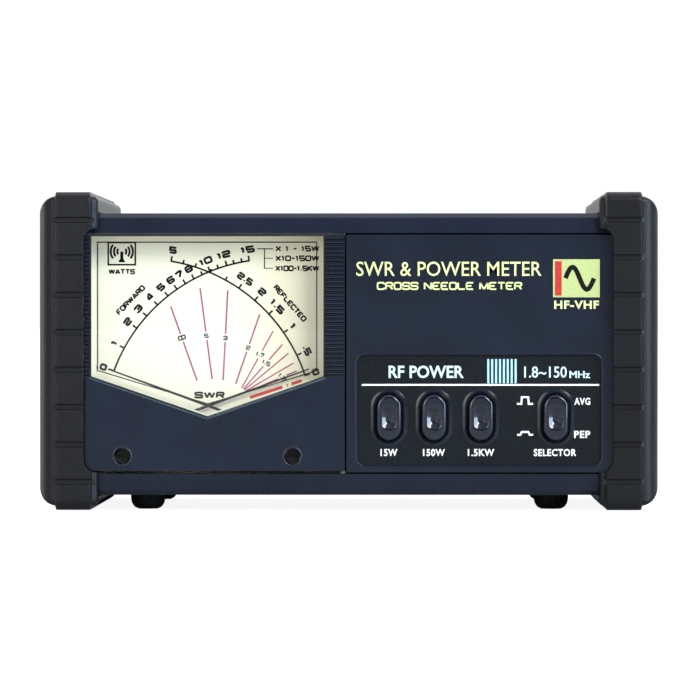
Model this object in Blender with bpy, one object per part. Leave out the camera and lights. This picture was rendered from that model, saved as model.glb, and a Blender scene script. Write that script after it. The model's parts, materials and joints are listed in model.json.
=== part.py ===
"""Cross-needle SWR and power meter: the complete instrument as separate pieces.

Frame: +X to the right seen from the front, the front faces -Y, +Z is up. The origin is on the surface
that the feet stand on, in the middle of the instrument, sockets included. All sizes below are in
millimetres, with y counted from the middle of the cabinet: place() turns them into the frame's metres.
"""

import math

import bmesh
import bpy
from mathutils import Matrix, Vector

MM = 0.001
GAP = 0.3

# Cabinet
HALF_WIDTH = 75.0
MID_Z = 38.8
CABINET_HALF_WIDTH = 66.5
CABINET_BOTTOM = 3.85
CABINET_TOP = 72.2
SHEET = 1.2
PANEL_FRONT = -51.0
FRAME_REAR = -40.0
REAR_FACE = 46.0
REAR_PANEL_THICKNESS = 1.5

# End guards
GUARD_FRONT = -53.5
GUARD_REAR = 48.5
TREAD_HALF_HEIGHT = 38.5
TREAD_RAISE = 0.8
TREAD_RAISE_TOP = 1.0
TREAD_OUTER_X = 70.9
TREAD_INNER_X = 62.4
HOOK_INNER_X = 60.6
GUARD_OPENING = (64.1, 9.4, 68.4)
GUARD_ROUND = 4.6
TREAD_ROUND = 2.4
GUARD_WALL = 2.6
GROOVE_PITCH = 9.05
GROOVE_WIDTH = 1.2
GUARD_SCREWS_Y = (-15.0, 32.0)

# Meter
METER_X = -34.2
PIVOT_OFFSET = 15.95
PIVOT_Z = 19.6
WINDOW_HALF_WIDTH = 28.13
WINDOW_TOP = 66.6
WINDOW_CORNER_Z = 32.66
WINDOW_APEX_Z = 23.0
WINDOW_FRONT = -50.8
METER_LEFT = -64.1
METER_RIGHT = -0.9
METER_BOTTOM = 9.7
METER_TOP = 66.8
METER_FRAME_FRONT = -50.4
METER_FRAME_BACK = -48.4
RIB_PITCH = 1.06
RIB_HEIGHT = 0.55
ZERO_SCREW_OFFSET = 20.6
ZERO_SCREW_Z = 13.3
ZERO_PIN_THROW = 0.9
NEEDLE_LENGTH = 43.0
NEEDLE_REST_DEG = 159.9
SPOKE_DEG = 38.0
YOKE_RADIUS = 9.5
POST_RADIUS = 8.2

# Controls
RECESS_LEFT = 2.06
RECESS_RIGHT = 61.2
RECESS_BOTTOM = 10.9
RECESS_TOP = 37.9
RECESS_FLOOR = -50.3
BUTTON_Z = 22.66
RANGE_BUTTONS = {"low": 9.8, "mid": 20.7, "high": 32.06}
MODE_BUTTON_X = 50.2
CAP_WIDTH = 6.05
CAP_HEIGHT = 11.3
CAP_FRONT = -52.0
CAP_REAR = -45.9
WELL_WIDTH = 8.25
WELL_HEIGHT = 13.2
BUTTON_TRAVEL = 2.5
PLUNGER_END = -27.0
SWITCH_FRONT = -36.0
SWITCH_REAR = -20.5

# Radio-frequency part
SOCKET_X = 27.0
SOCKET_Z = 34.0
SOCKET_FLANGE = 25.4
SOCKET_THREAD_RADIUS = 7.94
SOCKET_MOUTH = 59.5
JACK_Z = 60.0

# The instrument's middle along Y, halfway from the guards' front to the sockets' mouths
CENTRE_Y = (GUARD_FRONT + SOCKET_MOUTH) / 2

# Feet
FOOT_X = 49.5
FOOT_FRONT_Y = -32.0
FOOT_REAR_Y = 37.0

AXES = {"X": (1, 2, 0), "Y": (0, 2, 1), "Z": (0, 1, 2)}


# ---------------------------------------------------------------- outlines


def rectangle(a0, a1, b0, b1):
    return [(a0, b0), (a1, b0), (a1, b1), (a0, b1)]


def rounded(corners, radii, steps=4):
    """The closed outline through corners, each one rounded to its radius in that many chords."""
    if not isinstance(radii, (list, tuple)):
        radii = [radii] * len(corners)
    outline = []
    for index, corner in enumerate(corners):
        here = Vector(corner)
        before = (Vector(corners[index - 1]) - here).normalized()
        after = (Vector(corners[(index + 1) % len(corners)]) - here).normalized()
        radius = radii[index]
        if radius <= 0:
            outline.append(tuple(here))
            continue
        half_angle = before.angle(after) / 2
        centre = here + (before + after).normalized() * (radius / math.sin(half_angle))
        start = here + before * (radius / math.tan(half_angle)) - centre
        end = here + after * (radius / math.tan(half_angle)) - centre
        turn = math.atan2(start.x * end.y - start.y * end.x, start.dot(end))
        for step in range(steps + 1):
            angle = turn * step / steps
            spoke = Matrix.Rotation(angle, 2) @ start
            outline.append(tuple(centre + spoke))
    return outline


def polar(centre, radius, degrees):
    angle = math.radians(degrees)
    return centre[0] + radius * math.cos(angle), centre[1] + radius * math.sin(angle)


def circle(a, b, radius, steps=24):
    return [
        (a + radius * math.cos(math.tau * i / steps), b + radius * math.sin(math.tau * i / steps))
        for i in range(steps)
    ]


def stadium(a, b, width, height, steps=8):
    """An upright slot with round ends."""
    radius = width / 2
    reach = height / 2 - radius
    outline = []
    for start, level in ((0.0, b + reach), (180.0, b - reach)):
        for step in range(steps + 1):
            outline.append(polar((a, level), radius, start + 180.0 * step / steps))
    return outline


def window_outline(grow=0.0):
    """The meter window's five sides, each moved outwards by grow."""
    slope = (WINDOW_CORNER_Z - WINDOW_APEX_Z) / WINDOW_HALF_WIDTH
    drop = grow * math.sqrt(1 + slope * slope)
    side = WINDOW_HALF_WIDTH + grow
    corner_z = WINDOW_CORNER_Z + slope * grow - drop
    return [
        (METER_X, WINDOW_APEX_Z - drop),
        (METER_X + side, corner_z),
        (METER_X + side, WINDOW_TOP + grow),
        (METER_X - side, WINDOW_TOP + grow),
        (METER_X - side, corner_z),
    ]


def bar_outline(start, end, width):
    """A straight bar from start to end."""
    run = (Vector(end) - Vector(start)).normalized()
    side = Vector((-run.y, run.x)) * (width / 2)
    first = Vector(start)
    last = Vector(end)
    return [tuple(first - side), tuple(last - side), tuple(last + side), tuple(first + side)]


# ---------------------------------------------------------------- solids


def add_prism(mesh, outline, low, high, axis="Y"):
    """Adds a closed prism to mesh: the outline lies across the axis, from low to high along it."""
    first, second, along = AXES[axis]
    rings = []
    for place in (low, high):
        ring = []
        for a, b in outline:
            point = [0.0, 0.0, 0.0]
            point[first], point[second], point[along] = a, b, place
            ring.append(mesh.verts.new(point))
        rings.append(ring)
    faces = [mesh.faces.new(rings[0]), mesh.faces.new(reversed(rings[1]))]
    count = len(outline)
    for i in range(count):
        j = (i + 1) % count
        faces.append(mesh.faces.new((rings[0][j], rings[0][i], rings[1][i], rings[1][j])))
    bmesh.ops.recalc_face_normals(mesh, faces=faces)


def prism(outline, low, high, axis="Y"):
    mesh = bmesh.new()
    add_prism(mesh, outline, low, high, axis)
    return mesh


def block(x0, x1, y0, y1, z0, z1):
    return prism(rectangle(x0, x1, z0, z1), y0, y1)


def blocks(boxes):
    """Several separate boxes in one mesh, for a cutter."""
    mesh = bmesh.new()
    for x0, x1, y0, y1, z0, z1 in boxes:
        add_prism(mesh, rectangle(x0, x1, z0, z1), y0, y1)
    return mesh


def turned(profile, centre, axis="Y", steps=24):
    """A solid of revolution. profile holds (radius, place along the axis); centre is across the axis."""
    first, second, along = AXES[axis]
    mesh = bmesh.new()
    points = []
    for radius, place in profile:
        point = [0.0, 0.0, 0.0]
        point[first] = centre[0] + radius
        point[second] = centre[1]
        point[along] = place
        points.append(mesh.verts.new(point))
    edges = [mesh.edges.new(pair) for pair in zip(points, points[1:])]
    if profile[0][0] > 0:
        edges.append(mesh.edges.new((points[-1], points[0])))
    middle = [0.0, 0.0, 0.0]
    middle[first], middle[second] = centre
    direction = [0.0, 0.0, 0.0]
    direction[along] = 1.0
    bmesh.ops.spin(
        mesh, geom=points + edges, cent=middle, axis=direction, angle=math.tau, steps=steps, use_merge=True
    )
    bmesh.ops.remove_doubles(mesh, verts=mesh.verts, dist=0.0005)
    bmesh.ops.recalc_face_normals(mesh, faces=mesh.faces)
    return mesh


def bevelled(mesh, chosen, offset, segments):
    """Rounds those edges of mesh for which chosen(edge) is true."""
    edges = [edge for edge in mesh.edges if chosen(edge)]
    bmesh.ops.bevel(
        mesh, geom=edges, offset=offset, segments=segments, profile=0.5, affect="EDGES", clamp_overlap=True
    )
    return mesh


# ---------------------------------------------------------------- objects


def clear_scene():
    for item in list(bpy.data.objects):
        bpy.data.objects.remove(item)


def material(name, colour, roughness, metallic=0.0, alpha=1.0):
    found = bpy.data.materials.get(name)
    if found:
        return found
    made = bpy.data.materials.new(name)
    made.use_nodes = True
    shader = made.node_tree.nodes["Principled BSDF"]
    shader.inputs["Base Color"].default_value = (*colour, 1.0)
    shader.inputs["Roughness"].default_value = roughness
    shader.inputs["Metallic"].default_value = metallic
    shader.inputs["Alpha"].default_value = alpha
    return made


GUARD_PLASTIC = ("guard plastic", (0.020, 0.021, 0.025), 0.62)
NAVY_PLASTIC = ("navy plastic", (0.017, 0.020, 0.042), 0.42)
PANEL_PLASTIC = ("panel plastic", (0.020, 0.022, 0.034), 0.45)
CABINET_PAINT = ("cabinet paint", (0.030, 0.032, 0.036), 0.50, 0.3)
RUBBER = ("rubber", (0.02, 0.02, 0.02), 0.85)
CASE_PLASTIC = ("case plastic", (0.80, 0.79, 0.74), 0.55)
DIAL_CARD = ("dial card", (0.90, 0.88, 0.74), 0.65)
CLEAR_PLASTIC = ("clear plastic", (0.95, 0.97, 0.97), 0.05, 0.0, 0.2)
NEEDLE_PAINT = ("needle paint", (0.01, 0.01, 0.01), 0.55)
COPPER = ("copper winding", (0.72, 0.34, 0.18), 0.35, 1.0)
BRASS = ("brass", (0.75, 0.58, 0.28), 0.35, 1.0)
STEEL = ("steel", (0.58, 0.58, 0.58), 0.30, 1.0)
MAGNET = ("magnet iron", (0.22, 0.22, 0.23), 0.45, 0.8)
NICKEL = ("nickel plate", (0.78, 0.77, 0.73), 0.22, 1.0)
WHITE_INSULATOR = ("white insulator", (0.90, 0.90, 0.88), 0.45)
BUTTON_PLASTIC = ("button plastic", (0.030, 0.032, 0.044), 0.40)
SWITCH_PLASTIC = ("switch plastic", (0.03, 0.03, 0.03), 0.55)
BOARD = ("circuit board", (0.28, 0.20, 0.09), 0.55)
FERRITE = ("ferrite", (0.09, 0.09, 0.10), 0.60)
BLACK_SCREW = ("black screw", (0.03, 0.03, 0.03), 0.35, 0.8)


def place(point):
    """A point in millimetres as a place in the instrument's frame, in metres."""
    return (Vector(point) - Vector((0.0, CENTRE_Y, 0.0))) * MM


def new_object(name, mesh, pivot=(0.0, 0.0, 0.0)):
    """Makes an object from a bmesh in millimetres, with its origin at pivot."""
    bmesh.ops.translate(mesh, verts=mesh.verts, vec=-Vector(pivot))
    bmesh.ops.scale(mesh, verts=mesh.verts, vec=(MM, MM, MM))
    data = bpy.data.meshes.new(name)
    mesh.to_mesh(data)
    mesh.free()
    item = bpy.data.objects.new(name, data)
    item.location = place(pivot)
    bpy.context.scene.collection.objects.link(item)
    return item


def solid(name, mesh, finish, pivot=(0.0, 0.0, 0.0), sharp_deg=35):
    """One piece of the instrument."""
    item = new_object(name, mesh, pivot)
    item.data.materials.append(material(*finish))
    item.data.shade_smooth()
    item.data.set_sharp_from_angle(angle=math.radians(sharp_deg))
    return item


def combine(target, mesh, operation):
    """Cuts mesh from target, or joins it to target."""
    count = len(target.modifiers) + 1
    tool = new_object(f"{target.name}_tool_{count}", mesh)
    tool.hide_render = True
    tool.display_type = "WIRE"
    step = target.modifiers.new(f"{operation.lower()}_{count}", "BOOLEAN")
    step.operation = operation
    step.object = tool
    step.solver = "EXACT"


def cut(target, mesh):
    combine(target, mesh, "DIFFERENCE")


def join(target, mesh):
    combine(target, mesh, "UNION")


# ---------------------------------------------------------------- enclosure


def make_front_frame():
    """The moulded frame round the panel: a strip above, a strip below and hidden side walls."""
    side_profile = [
        (-50.4, 8.9),
        (-49.5, 5.0),
        (-48.4, CABINET_BOTTOM),
        (FRAME_REAR, CABINET_BOTTOM),
        (FRAME_REAR, CABINET_TOP),
        (-48.4, CABINET_TOP),
        (-49.5, 71.1),
        (-50.4, 67.4),
    ]
    frame = solid(
        "front_bezel", prism(side_profile, -CABINET_HALF_WIDTH, CABINET_HALF_WIDTH, "X"), NAVY_PLASTIC
    )
    cut(frame, block(-64.9, 64.9, -55, -35, 9.05, 67.35))
    cut(frame, block(-65.3, 65.3, -48.5, -35, CABINET_BOTTOM + 2, CABINET_TOP - 2))
    return frame


def make_control_panel():
    left, right, bottom, top = -0.5, 64.6, 9.43, 66.96
    mesh = prism(rounded(rectangle(left, right, bottom, top), 0.4, 2), PANEL_FRONT, -48.6)
    panel = solid("control_panel", mesh, PANEL_PLASTIC)
    recess = rectangle(RECESS_LEFT, RECESS_RIGHT, RECESS_BOTTOM, RECESS_TOP)
    cut(panel, prism(rounded(recess, 2.2, 5), -55, RECESS_FLOOR))
    wells = bmesh.new()
    holes = bmesh.new()
    for x in [*RANGE_BUTTONS.values(), MODE_BUTTON_X]:
        add_prism(wells, stadium(x, BUTTON_Z, WELL_WIDTH, WELL_HEIGHT), -52, RECESS_FLOOR + 0.7)
        hole = stadium(x, BUTTON_Z, CAP_WIDTH + 2 * GAP, CAP_HEIGHT + 2 * GAP)
        add_prism(holes, hole, -52, -45)
    cut(panel, wells)
    cut(panel, holes)
    return panel


def make_cabinet():
    """Bent sheet top cover, chassis and rear panel."""
    outer, top, front = CABINET_HALF_WIDTH, CABINET_TOP, FRAME_REAR + GAP
    panel_front = REAR_FACE - REAR_PANEL_THICKNESS
    inner = outer - SHEET
    skirt = CABINET_BOTTOM + SHEET + GAP
    bend = [(-outer, skirt), (-inner, skirt), (-inner, top - SHEET), (inner, top - SHEET)]
    bend += [(inner, skirt), (outer, skirt), (outer, top), (-outer, top)]
    radii = [0, 0, 0.9, 0.9, 0, 0, 2.0, 2.0]
    cover = solid("top_cover", prism(rounded(bend, radii, 4), front, panel_front - GAP), CABINET_PAINT)
    holes = bmesh.new()
    for y in GUARD_SCREWS_Y:
        for side in (-1, 1):
            low, high = sorted((side * (inner - 1), side * (outer + 1)))
            add_prism(holes, circle(y, MID_Z, 1.8, 16), low, high, "X")
    cut(cover, holes)

    flange_x = inner - GAP - SHEET
    base_top = CABINET_BOTTOM + SHEET
    rear = panel_front - GAP
    base = rounded(rectangle(-outer, outer, front, rear), 1.0, 2)
    chassis = solid("chassis", prism(base, CABINET_BOTTOM, base_top, "Z"), CABINET_PAINT)
    for side in (-1, 1):
        low, high = sorted((side * flange_x, side * (flange_x + SHEET)))
        join(chassis, block(low, high, -15, rear - 0.01, base_top - 0.5, 20))
    join(chassis, block(-58, 58, rear - SHEET, rear - 0.02, base_top - 0.5, 13))

    plate = rectangle(-outer, outer, CABINET_BOTTOM, top)
    panel = solid("rear_panel", prism(rounded(plate, 2.0, 4), panel_front, REAR_FACE), CABINET_PAINT)
    holes = bmesh.new()
    for x in (-SOCKET_X, SOCKET_X):
        add_prism(holes, circle(x, SOCKET_Z, 7.9), panel_front - 1, REAR_FACE + 1)
    add_prism(holes, circle(0, JACK_Z, 4.25, 16), panel_front - 1, REAR_FACE + 1)
    cut(panel, holes)


def make_feet():
    profile = [(0, 0), (2.5, 0), (3.4, 0.5), (4.0, 1.4), (4.25, 2.6), (4.25, CABINET_BOTTOM - GAP)]
    profile.append((0, CABINET_BOTTOM - GAP))
    for end, y in (("front", FOOT_FRONT_Y), ("rear", FOOT_REAR_Y)):
        for hand, x in (("left", -FOOT_X), ("right", FOOT_X)):
            solid(f"foot_{end}_{hand}", turned(profile, (x, y), "Z", 18), RUBBER, (x, y, 0))


def side_block(side, x0, x1, y0, y1, z0, z1):
    """A box given for the right-hand end, placed at the end that side names."""
    low, high = sorted((side * x0, side * x1))
    return block(low, high, y0, y1, z0, z1)


def make_guard(name, side):
    """An end guard: a tray with a raised, grooved tread round it, hooked over the cabinet's end."""
    core_front = GUARD_FRONT + TREAD_RAISE
    core_rear = GUARD_REAR - TREAD_RAISE
    core_half = TREAD_HALF_HEIGHT - TREAD_RAISE_TOP
    low_z, high_z = MID_Z - core_half, MID_Z + core_half
    mesh = side_block(side, HOOK_INNER_X, HALF_WIDTH, core_front, core_rear, low_z, high_z)

    def outer(edge):
        ends = [abs(vert.co.x) for vert in edge.verts]
        return min(ends) > HALF_WIDTH - 0.1

    def hook_lip(edge):
        ends = [abs(vert.co.x) for vert in edge.verts]
        level = [round(vert.co.z, 3) for vert in edge.verts]
        return max(ends) < HOOK_INNER_X + 0.1 and level[0] == level[1]

    bevelled(mesh, outer, GUARD_ROUND, 4)
    bevelled(mesh, hook_lip, 1.3, 2)
    guard = solid(name, mesh, GUARD_PLASTIC)

    tread = rectangle(GUARD_FRONT, GUARD_REAR, MID_Z - TREAD_HALF_HEIGHT, MID_Z + TREAD_HALF_HEIGHT)
    low, high = sorted((side * TREAD_INNER_X, side * TREAD_OUTER_X))
    join(guard, prism(rounded(tread, TREAD_ROUND, 5), low, high, "X"))

    pocket = (CABINET_BOTTOM - GAP, CABINET_TOP + GAP)
    inside = CABINET_HALF_WIDTH + GAP
    cut(guard, side_block(side, 50, inside, PANEL_FRONT - GAP, REAR_FACE + GAP, *pocket))
    hollow_outer = HALF_WIDTH - GUARD_WALL
    cut(guard, side_block(side, inside - 1, hollow_outer, -48.5, 43.5, 7.0, 69.0))
    half_width, bottom, top = GUARD_OPENING
    opening = rounded(rectangle(-half_width, half_width, bottom, top), 3.0, 5)
    both_ends = bmesh.new()
    add_prism(both_ends, opening, GUARD_FRONT - 2, PANEL_FRONT)
    add_prism(both_ends, opening, REAR_FACE, GUARD_REAR + 2)
    cut(guard, both_ends)

    bosses = bmesh.new()
    recesses = bmesh.new()
    bores = bmesh.new()
    for y in GUARD_SCREWS_Y:
        low, high = sorted((side * (inside + 0.1), side * (hollow_outer + 0.5)))
        add_prism(bosses, circle(y, MID_Z, 3.6, 16), low, high, "X")
        low, high = sorted((side * 72.9, side * 77))
        add_prism(recesses, circle(y, MID_Z, 3.3, 20), low, high, "X")
        low, high = sorted((side * 65, side * 74))
        add_prism(bores, circle(y, MID_Z, 1.8, 16), low, high, "X")
    join(guard, bosses)
    cut(guard, recesses)
    cut(guard, bores)

    depth = TREAD_RAISE - 0.05
    half = GROOVE_WIDTH / 2
    grooves = []
    for step in range(8):
        z = MID_Z + (step - 3.5) * GROOVE_PITCH
        grooves.append((60, 71.5, GUARD_FRONT - 1, GUARD_FRONT + depth, z - half, z + half))
        grooves.append((60, 71.5, GUARD_REAR - depth, GUARD_REAR + 1, z - half, z + half))
    middle_y = (GUARD_FRONT + GUARD_REAR) / 2
    for step in range(11):
        y = middle_y + (step - 5) * GROOVE_PITCH
        top = MID_Z + TREAD_HALF_HEIGHT
        bottom = MID_Z - TREAD_HALF_HEIGHT
        grooves.append((61.8, 71.5, y - half, y + half, top - depth, top + 1))
        grooves.append((61.8, 71.5, y - half, y + half, bottom - 1, bottom + depth))
    placed = []
    for x0, x1, *rest in grooves:
        low, high = sorted((side * x0, side * x1))
        placed.append((low, high, *rest))
    cut(guard, blocks(placed))


def make_guard_screws():
    for hand, side in (("left", -1), ("right", 1)):
        for end, y in zip(("front", "rear"), GUARD_SCREWS_Y):
            profile = [(0, 62.8), (1.5, 62.8), (1.5, 73.2), (2.8, 73.2), (2.8, 74.1), (2.2, 74.7), (0, 74.8)]
            mirrored = [(radius, side * place) for radius, place in profile]
            name = f"guard_screw_{end}_{hand}"
            screw = solid(name, turned(mirrored, (y, MID_Z), "X", 12), BLACK_SCREW, (0, y, MID_Z))
            cross = bmesh.new()
            add_prism(cross, rectangle(-1.5, 1.5, -0.3, 0.3), 73.9, 76, "X")
            slot = bmesh.new()
            add_prism(slot, rectangle(-0.3, 0.3, -1.5, 1.5), 73.9, 76, "X")
            for tool in (cross, slot):
                if side < 0:
                    bmesh.ops.scale(tool, verts=tool.verts, vec=(-1, 1, 1))
                    bmesh.ops.reverse_faces(tool, faces=tool.faces)
                bmesh.ops.translate(tool, verts=tool.verts, vec=(0, y, MID_Z))
                cut(screw, tool)


# ---------------------------------------------------------------- meter


def pivot_of(side):
    """The needle axis of the forward (+1) or reflected (-1) movement, as (x, z)."""
    return METER_X + side * PIVOT_OFFSET, PIVOT_Z


def facing(side, degrees):
    """An angle given for the forward movement, mirrored for the reflected one."""
    return degrees if side > 0 else 180.0 - degrees


def make_meter_case():
    left, right, bottom, top = -64.9, METER_RIGHT, 7.4, 69.0
    wall, front, back = 1.0, -48.0, -22.0
    floor = back - 1.5
    case = solid("meter_case", block(left, right, front, back, bottom, top), CASE_PLASTIC)
    cut(case, block(left + wall, right - wall, front - 1, floor, bottom + wall, top - wall))
    posts = bmesh.new()
    for x, z in ((METER_X - 24.3, 62.0), (METER_X + 24.3, 62.0), (METER_X, 30.0)):
        add_prism(posts, circle(x, z, 2.0, 12), -41.1, floor + 0.5)
    for side in (-1, 1):
        x, z = pivot_of(side)
        add_prism(posts, circle(x, z, 1.9, 16), -25.2, floor + 0.5)
    join(case, posts)
    bearings = bmesh.new()
    for side in (-1, 1):
        x, z = pivot_of(side)
        add_prism(bearings, circle(x, z, 0.85, 12), -27, -23.9)
    cut(case, bearings)
    cut(case, prism(circle(METER_X, 50.0, 3.5, 16), -30, -20))
    lamp = [(0, -38.5), (1.3, -38.1), (2.3, -37.0), (2.7, -35.4), (2.7, -30), (3.1, -29.7), (3.1, -20.0)]
    lamp.append((0, -20.0))
    solid("meter_lamp", turned(lamp, (METER_X, 50.0), "Y", 16), CLEAR_PLASTIC, (METER_X, -20, 50.0))


def make_scale_plate():
    plate = window_outline(1.1)
    plate[1] = (METER_RIGHT - 1.4, plate[1][1])
    plate[2] = (METER_RIGHT - 1.4, 67.6)
    plate[3] = (-63.5, 67.6)
    plate[4] = (-63.5, plate[4][1])
    solid("scale_plate", prism(plate, -42.0, -41.4), DIAL_CARD)


def make_window():
    window = solid("meter_window", prism(window_outline(), WINDOW_FRONT, -47.5), CLEAR_PLASTIC)
    join(window, prism(window_outline(1.1), -48.1, -46.9))
    cut(window, prism(window_outline(-1.2), -49.4, -46.0))


def make_dial_mask():
    """A white band along the window's V edge, in front of the needles, that hides the movements."""
    slope = (WINDOW_CORNER_Z - WINDOW_APEX_Z) / WINDOW_HALF_WIDTH
    left, right = -63.4, METER_RIGHT - 1.5

    def level(x, shift):
        return x, WINDOW_APEX_Z + slope * abs(x - METER_X) + shift

    lower = [level(x, -1.5) for x in (left, METER_X, right)]
    upper = [level(x, 0.4) for x in (right, METER_X, left)]
    solid("dial_mask", prism(lower + upper, -46.3, -45.9), CASE_PLASTIC)


def rib_strip(left, right, bottom, top):
    """A strip of small level ribs, as one prism along X with a wavy front."""
    base = METER_FRAME_FRONT + 0.3
    profile = [(base, bottom)]
    count = int((top - bottom) / RIB_PITCH)
    for index in range(count):
        z = bottom + index * RIB_PITCH
        valley = METER_FRAME_FRONT - 0.05
        crest = METER_FRAME_FRONT - RIB_HEIGHT
        profile += [(valley, z + 0.12), (crest, z + 0.38), (crest, z + 0.74), (valley, z + 1.0)]
    profile.append((base, bottom + count * RIB_PITCH))
    return prism(profile, left, right, "X")


def make_meter_frame():
    outline = rectangle(METER_LEFT, METER_RIGHT, METER_BOTTOM, METER_TOP)
    frame = solid("meter_frame", prism(outline, METER_FRAME_FRONT, METER_FRAME_BACK), NAVY_PLASTIC)
    opening = window_outline(GAP)
    opening[2] = (opening[2][0], METER_TOP + 3)
    opening[3] = (opening[3][0], METER_TOP + 3)
    cut(frame, prism(opening, -55, -45))
    join(frame, rib_strip(-5.6, -1.15, 32.75, 66.7))
    join(frame, rib_strip(-64.0, -62.75, 32.75, 66.7))
    holes = bmesh.new()
    for side in (-1, 1):
        hole = circle(METER_X + side * ZERO_SCREW_OFFSET, ZERO_SCREW_Z, 2.05, 16)
        add_prism(holes, hole, -55, -45)
    cut(frame, holes)


def make_lower_cover():
    inset = window_outline(GAP)
    left, right, bottom = -63.7, -1.05, 9.95
    shoulder = inset[1][1]
    corners = [(left, bottom), (right, bottom), (right, shoulder), (inset[1][0], shoulder)]
    corners += [inset[0], (inset[4][0], shoulder), (left, shoulder)]
    radii = [3.0, 0.6, 1.2, 0.2, 0.3, 0.2, 0.3]
    mesh = prism(rounded(corners, radii, 3), -51.6, -50.7)
    cover = solid("meter_lower_cover", mesh, NAVY_PLASTIC)
    holes = bmesh.new()
    for side in (-1, 1):
        hole = circle(METER_X + side * ZERO_SCREW_OFFSET, ZERO_SCREW_Z, 2.0, 20)
        add_prism(holes, hole, -53, -50)
    cut(cover, holes)


def make_movement(word, side):
    """One moving-coil movement with its needle, hairspring and zero setting."""
    centre = pivot_of(side)
    joint = (centre[0], 0.0, centre[1])

    ring = [(6.9, -39.5), (YOKE_RADIUS, -39.5), (YOKE_RADIUS, -27.5), (6.9, -27.5)]
    yoke = solid(f"{word}_magnet_yoke", turned(ring, centre, "Y", 24), MAGNET)
    join(yoke, turned([(0, -39.5), (5.4, -39.5), (5.4, -27.5), (0, -27.5)], centre, "Y", 18))
    spoke_deg = facing(side, SPOKE_DEG)
    first = polar(centre, 7.6, spoke_deg)
    last = polar(centre, -7.6, spoke_deg)
    join(yoke, prism(bar_outline(first, last, 2.4), -39.0, -28.0))
    feet = bmesh.new()
    for reach in (POST_RADIUS, -POST_RADIUS):
        x, z = polar(centre, reach, spoke_deg)
        add_prism(feet, circle(x, z, 1.2, 12), -28.0, -23.8)
    join(yoke, feet)

    first = polar(centre, POST_RADIUS + 1.3, spoke_deg)
    last = polar(centre, -POST_RADIUS - 1.3, spoke_deg)
    bridge = solid(f"{word}_bridge", prism(bar_outline(first, last, 2.2), -46.6, -45.8), BRASS)
    feet = bmesh.new()
    for reach in (POST_RADIUS, -POST_RADIUS):
        x, z = polar(centre, reach, spoke_deg)
        add_prism(feet, circle(x, z, 1.0, 12), -46.2, -39.8)
    add_prism(feet, circle(*centre, 1.6, 16), -48.0, -46.2)
    join(bridge, feet)
    cut(bridge, prism(circle(*centre, 0.85, 12), -47.0, -45.0))

    needle_deg = facing(side, NEEDLE_REST_DEG)
    loop = bmesh.new()
    for reach in (5.8, -5.8):
        near = polar(centre, reach, needle_deg)
        far = polar(centre, math.copysign(6.4, reach), needle_deg)
        add_prism(loop, bar_outline(near, far, 2.2), -40.9, -26.1)
    ends = bar_outline(polar(centre, 6.5, needle_deg), polar(centre, -6.5, needle_deg), 2.4)
    coil = solid(f"{word}_coil", prism(ends, -41.2, -40.6), COPPER, joint)
    join(coil, loop)
    join(coil, prism(ends, -26.4, -25.8))
    staff = bmesh.new()
    add_prism(staff, circle(*centre, 0.5, 10), -46.3, -40.9)
    add_prism(staff, circle(*centre, 0.5, 10), -26.1, -24.2)
    join(coil, staff)

    front = -45.2 if side > 0 else -43.9
    back = front + 0.4
    tip = Vector(polar(centre, NEEDLE_LENGTH, needle_deg))
    root = Vector(polar(centre, 0.9, needle_deg))
    across = Vector(polar((0, 0), 1.0, needle_deg + 90))
    blade = [tuple(root - across * 0.42), tuple(tip - across * 0.16), tuple(tip + across * 0.16)]
    blade.append(tuple(root + across * 0.42))
    needle = solid(f"{word}_needle", prism(circle(*centre, 1.5, 16), front, back), NEEDLE_PAINT, joint)
    join(needle, prism(blade, front + 0.01, back - 0.01))
    tail = bar_outline(polar(centre, -1.0, needle_deg), polar(centre, -5.0, needle_deg), 1.0)
    join(needle, prism(tail, front + 0.02, back - 0.02))
    weight = circle(*polar(centre, -4.7, needle_deg), 1.3, 14)
    join(needle, prism(weight, front - 0.3, back + 0.3))
    cut(needle, prism(circle(*centre, 0.8, 12), front - 1, back + 1))

    turns, inner, outer, points = 2.6, 1.0, 4.0, 30
    start = facing(side, 70.0)
    spiral = []
    for edge, order in ((0.0, range(points + 1)), (0.16, range(points, -1, -1))):
        for index in order:
            share = index / points
            degrees = start + side * 360.0 * turns * (share - 1)
            spiral.append(polar(centre, inner + (outer - inner) * share + edge, degrees))
    solid(f"{word}_hairspring", prism(spiral, -43.0, -42.6), BRASS, joint)

    screw = (METER_X + side * ZERO_SCREW_OFFSET, ZERO_SCREW_Z)
    towards = Vector(screw) - Vector(centre)
    reach = towards.length
    arm_deg = math.degrees(math.atan2(towards.y, towards.x))
    arm = solid(f"{word}_zero_arm", prism(circle(*centre, 2.9, 18), -47.5, -47.0), STEEL, joint)
    limb = bar_outline(polar(centre, 2.2, arm_deg), polar(centre, reach + 2.4, arm_deg), 2.8)
    join(arm, prism(limb, -47.49, -47.01))
    tab = bar_outline(polar(centre, 2.2, start), polar(centre, 5.1, start), 1.2)
    join(arm, prism(tab, -47.48, -47.02))
    join(arm, prism(circle(*polar(centre, 4.6, start), 0.35, 10), -47.2, -42.6))
    slot = bar_outline(polar(centre, reach - 0.1, arm_deg), polar(centre, reach + 4, arm_deg), 1.3)
    cut(arm, prism(slot, -49, -46))
    cut(arm, prism(circle(*centre, 1.9, 18), -49, -46))

    axis = (screw[0], 0.0, screw[1])
    head = [(0, -50.1), (1.75, -50.1), (1.75, -48.9), (1.1, -48.9), (1.1, -48.0), (0, -48.0)]
    zero_screw = solid(f"{word}_zero_screw", turned(head, screw, "Y", 18), SWITCH_PLASTIC, axis)
    pin = polar(screw, ZERO_PIN_THROW, arm_deg)
    join(zero_screw, prism(circle(*pin, 0.4, 10), -48.3, -46.7))
    cut(zero_screw, block(screw[0] - 1.3, screw[0] + 1.3, -51, -49.5, screw[1] - 0.3, screw[1] + 0.3))


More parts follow.
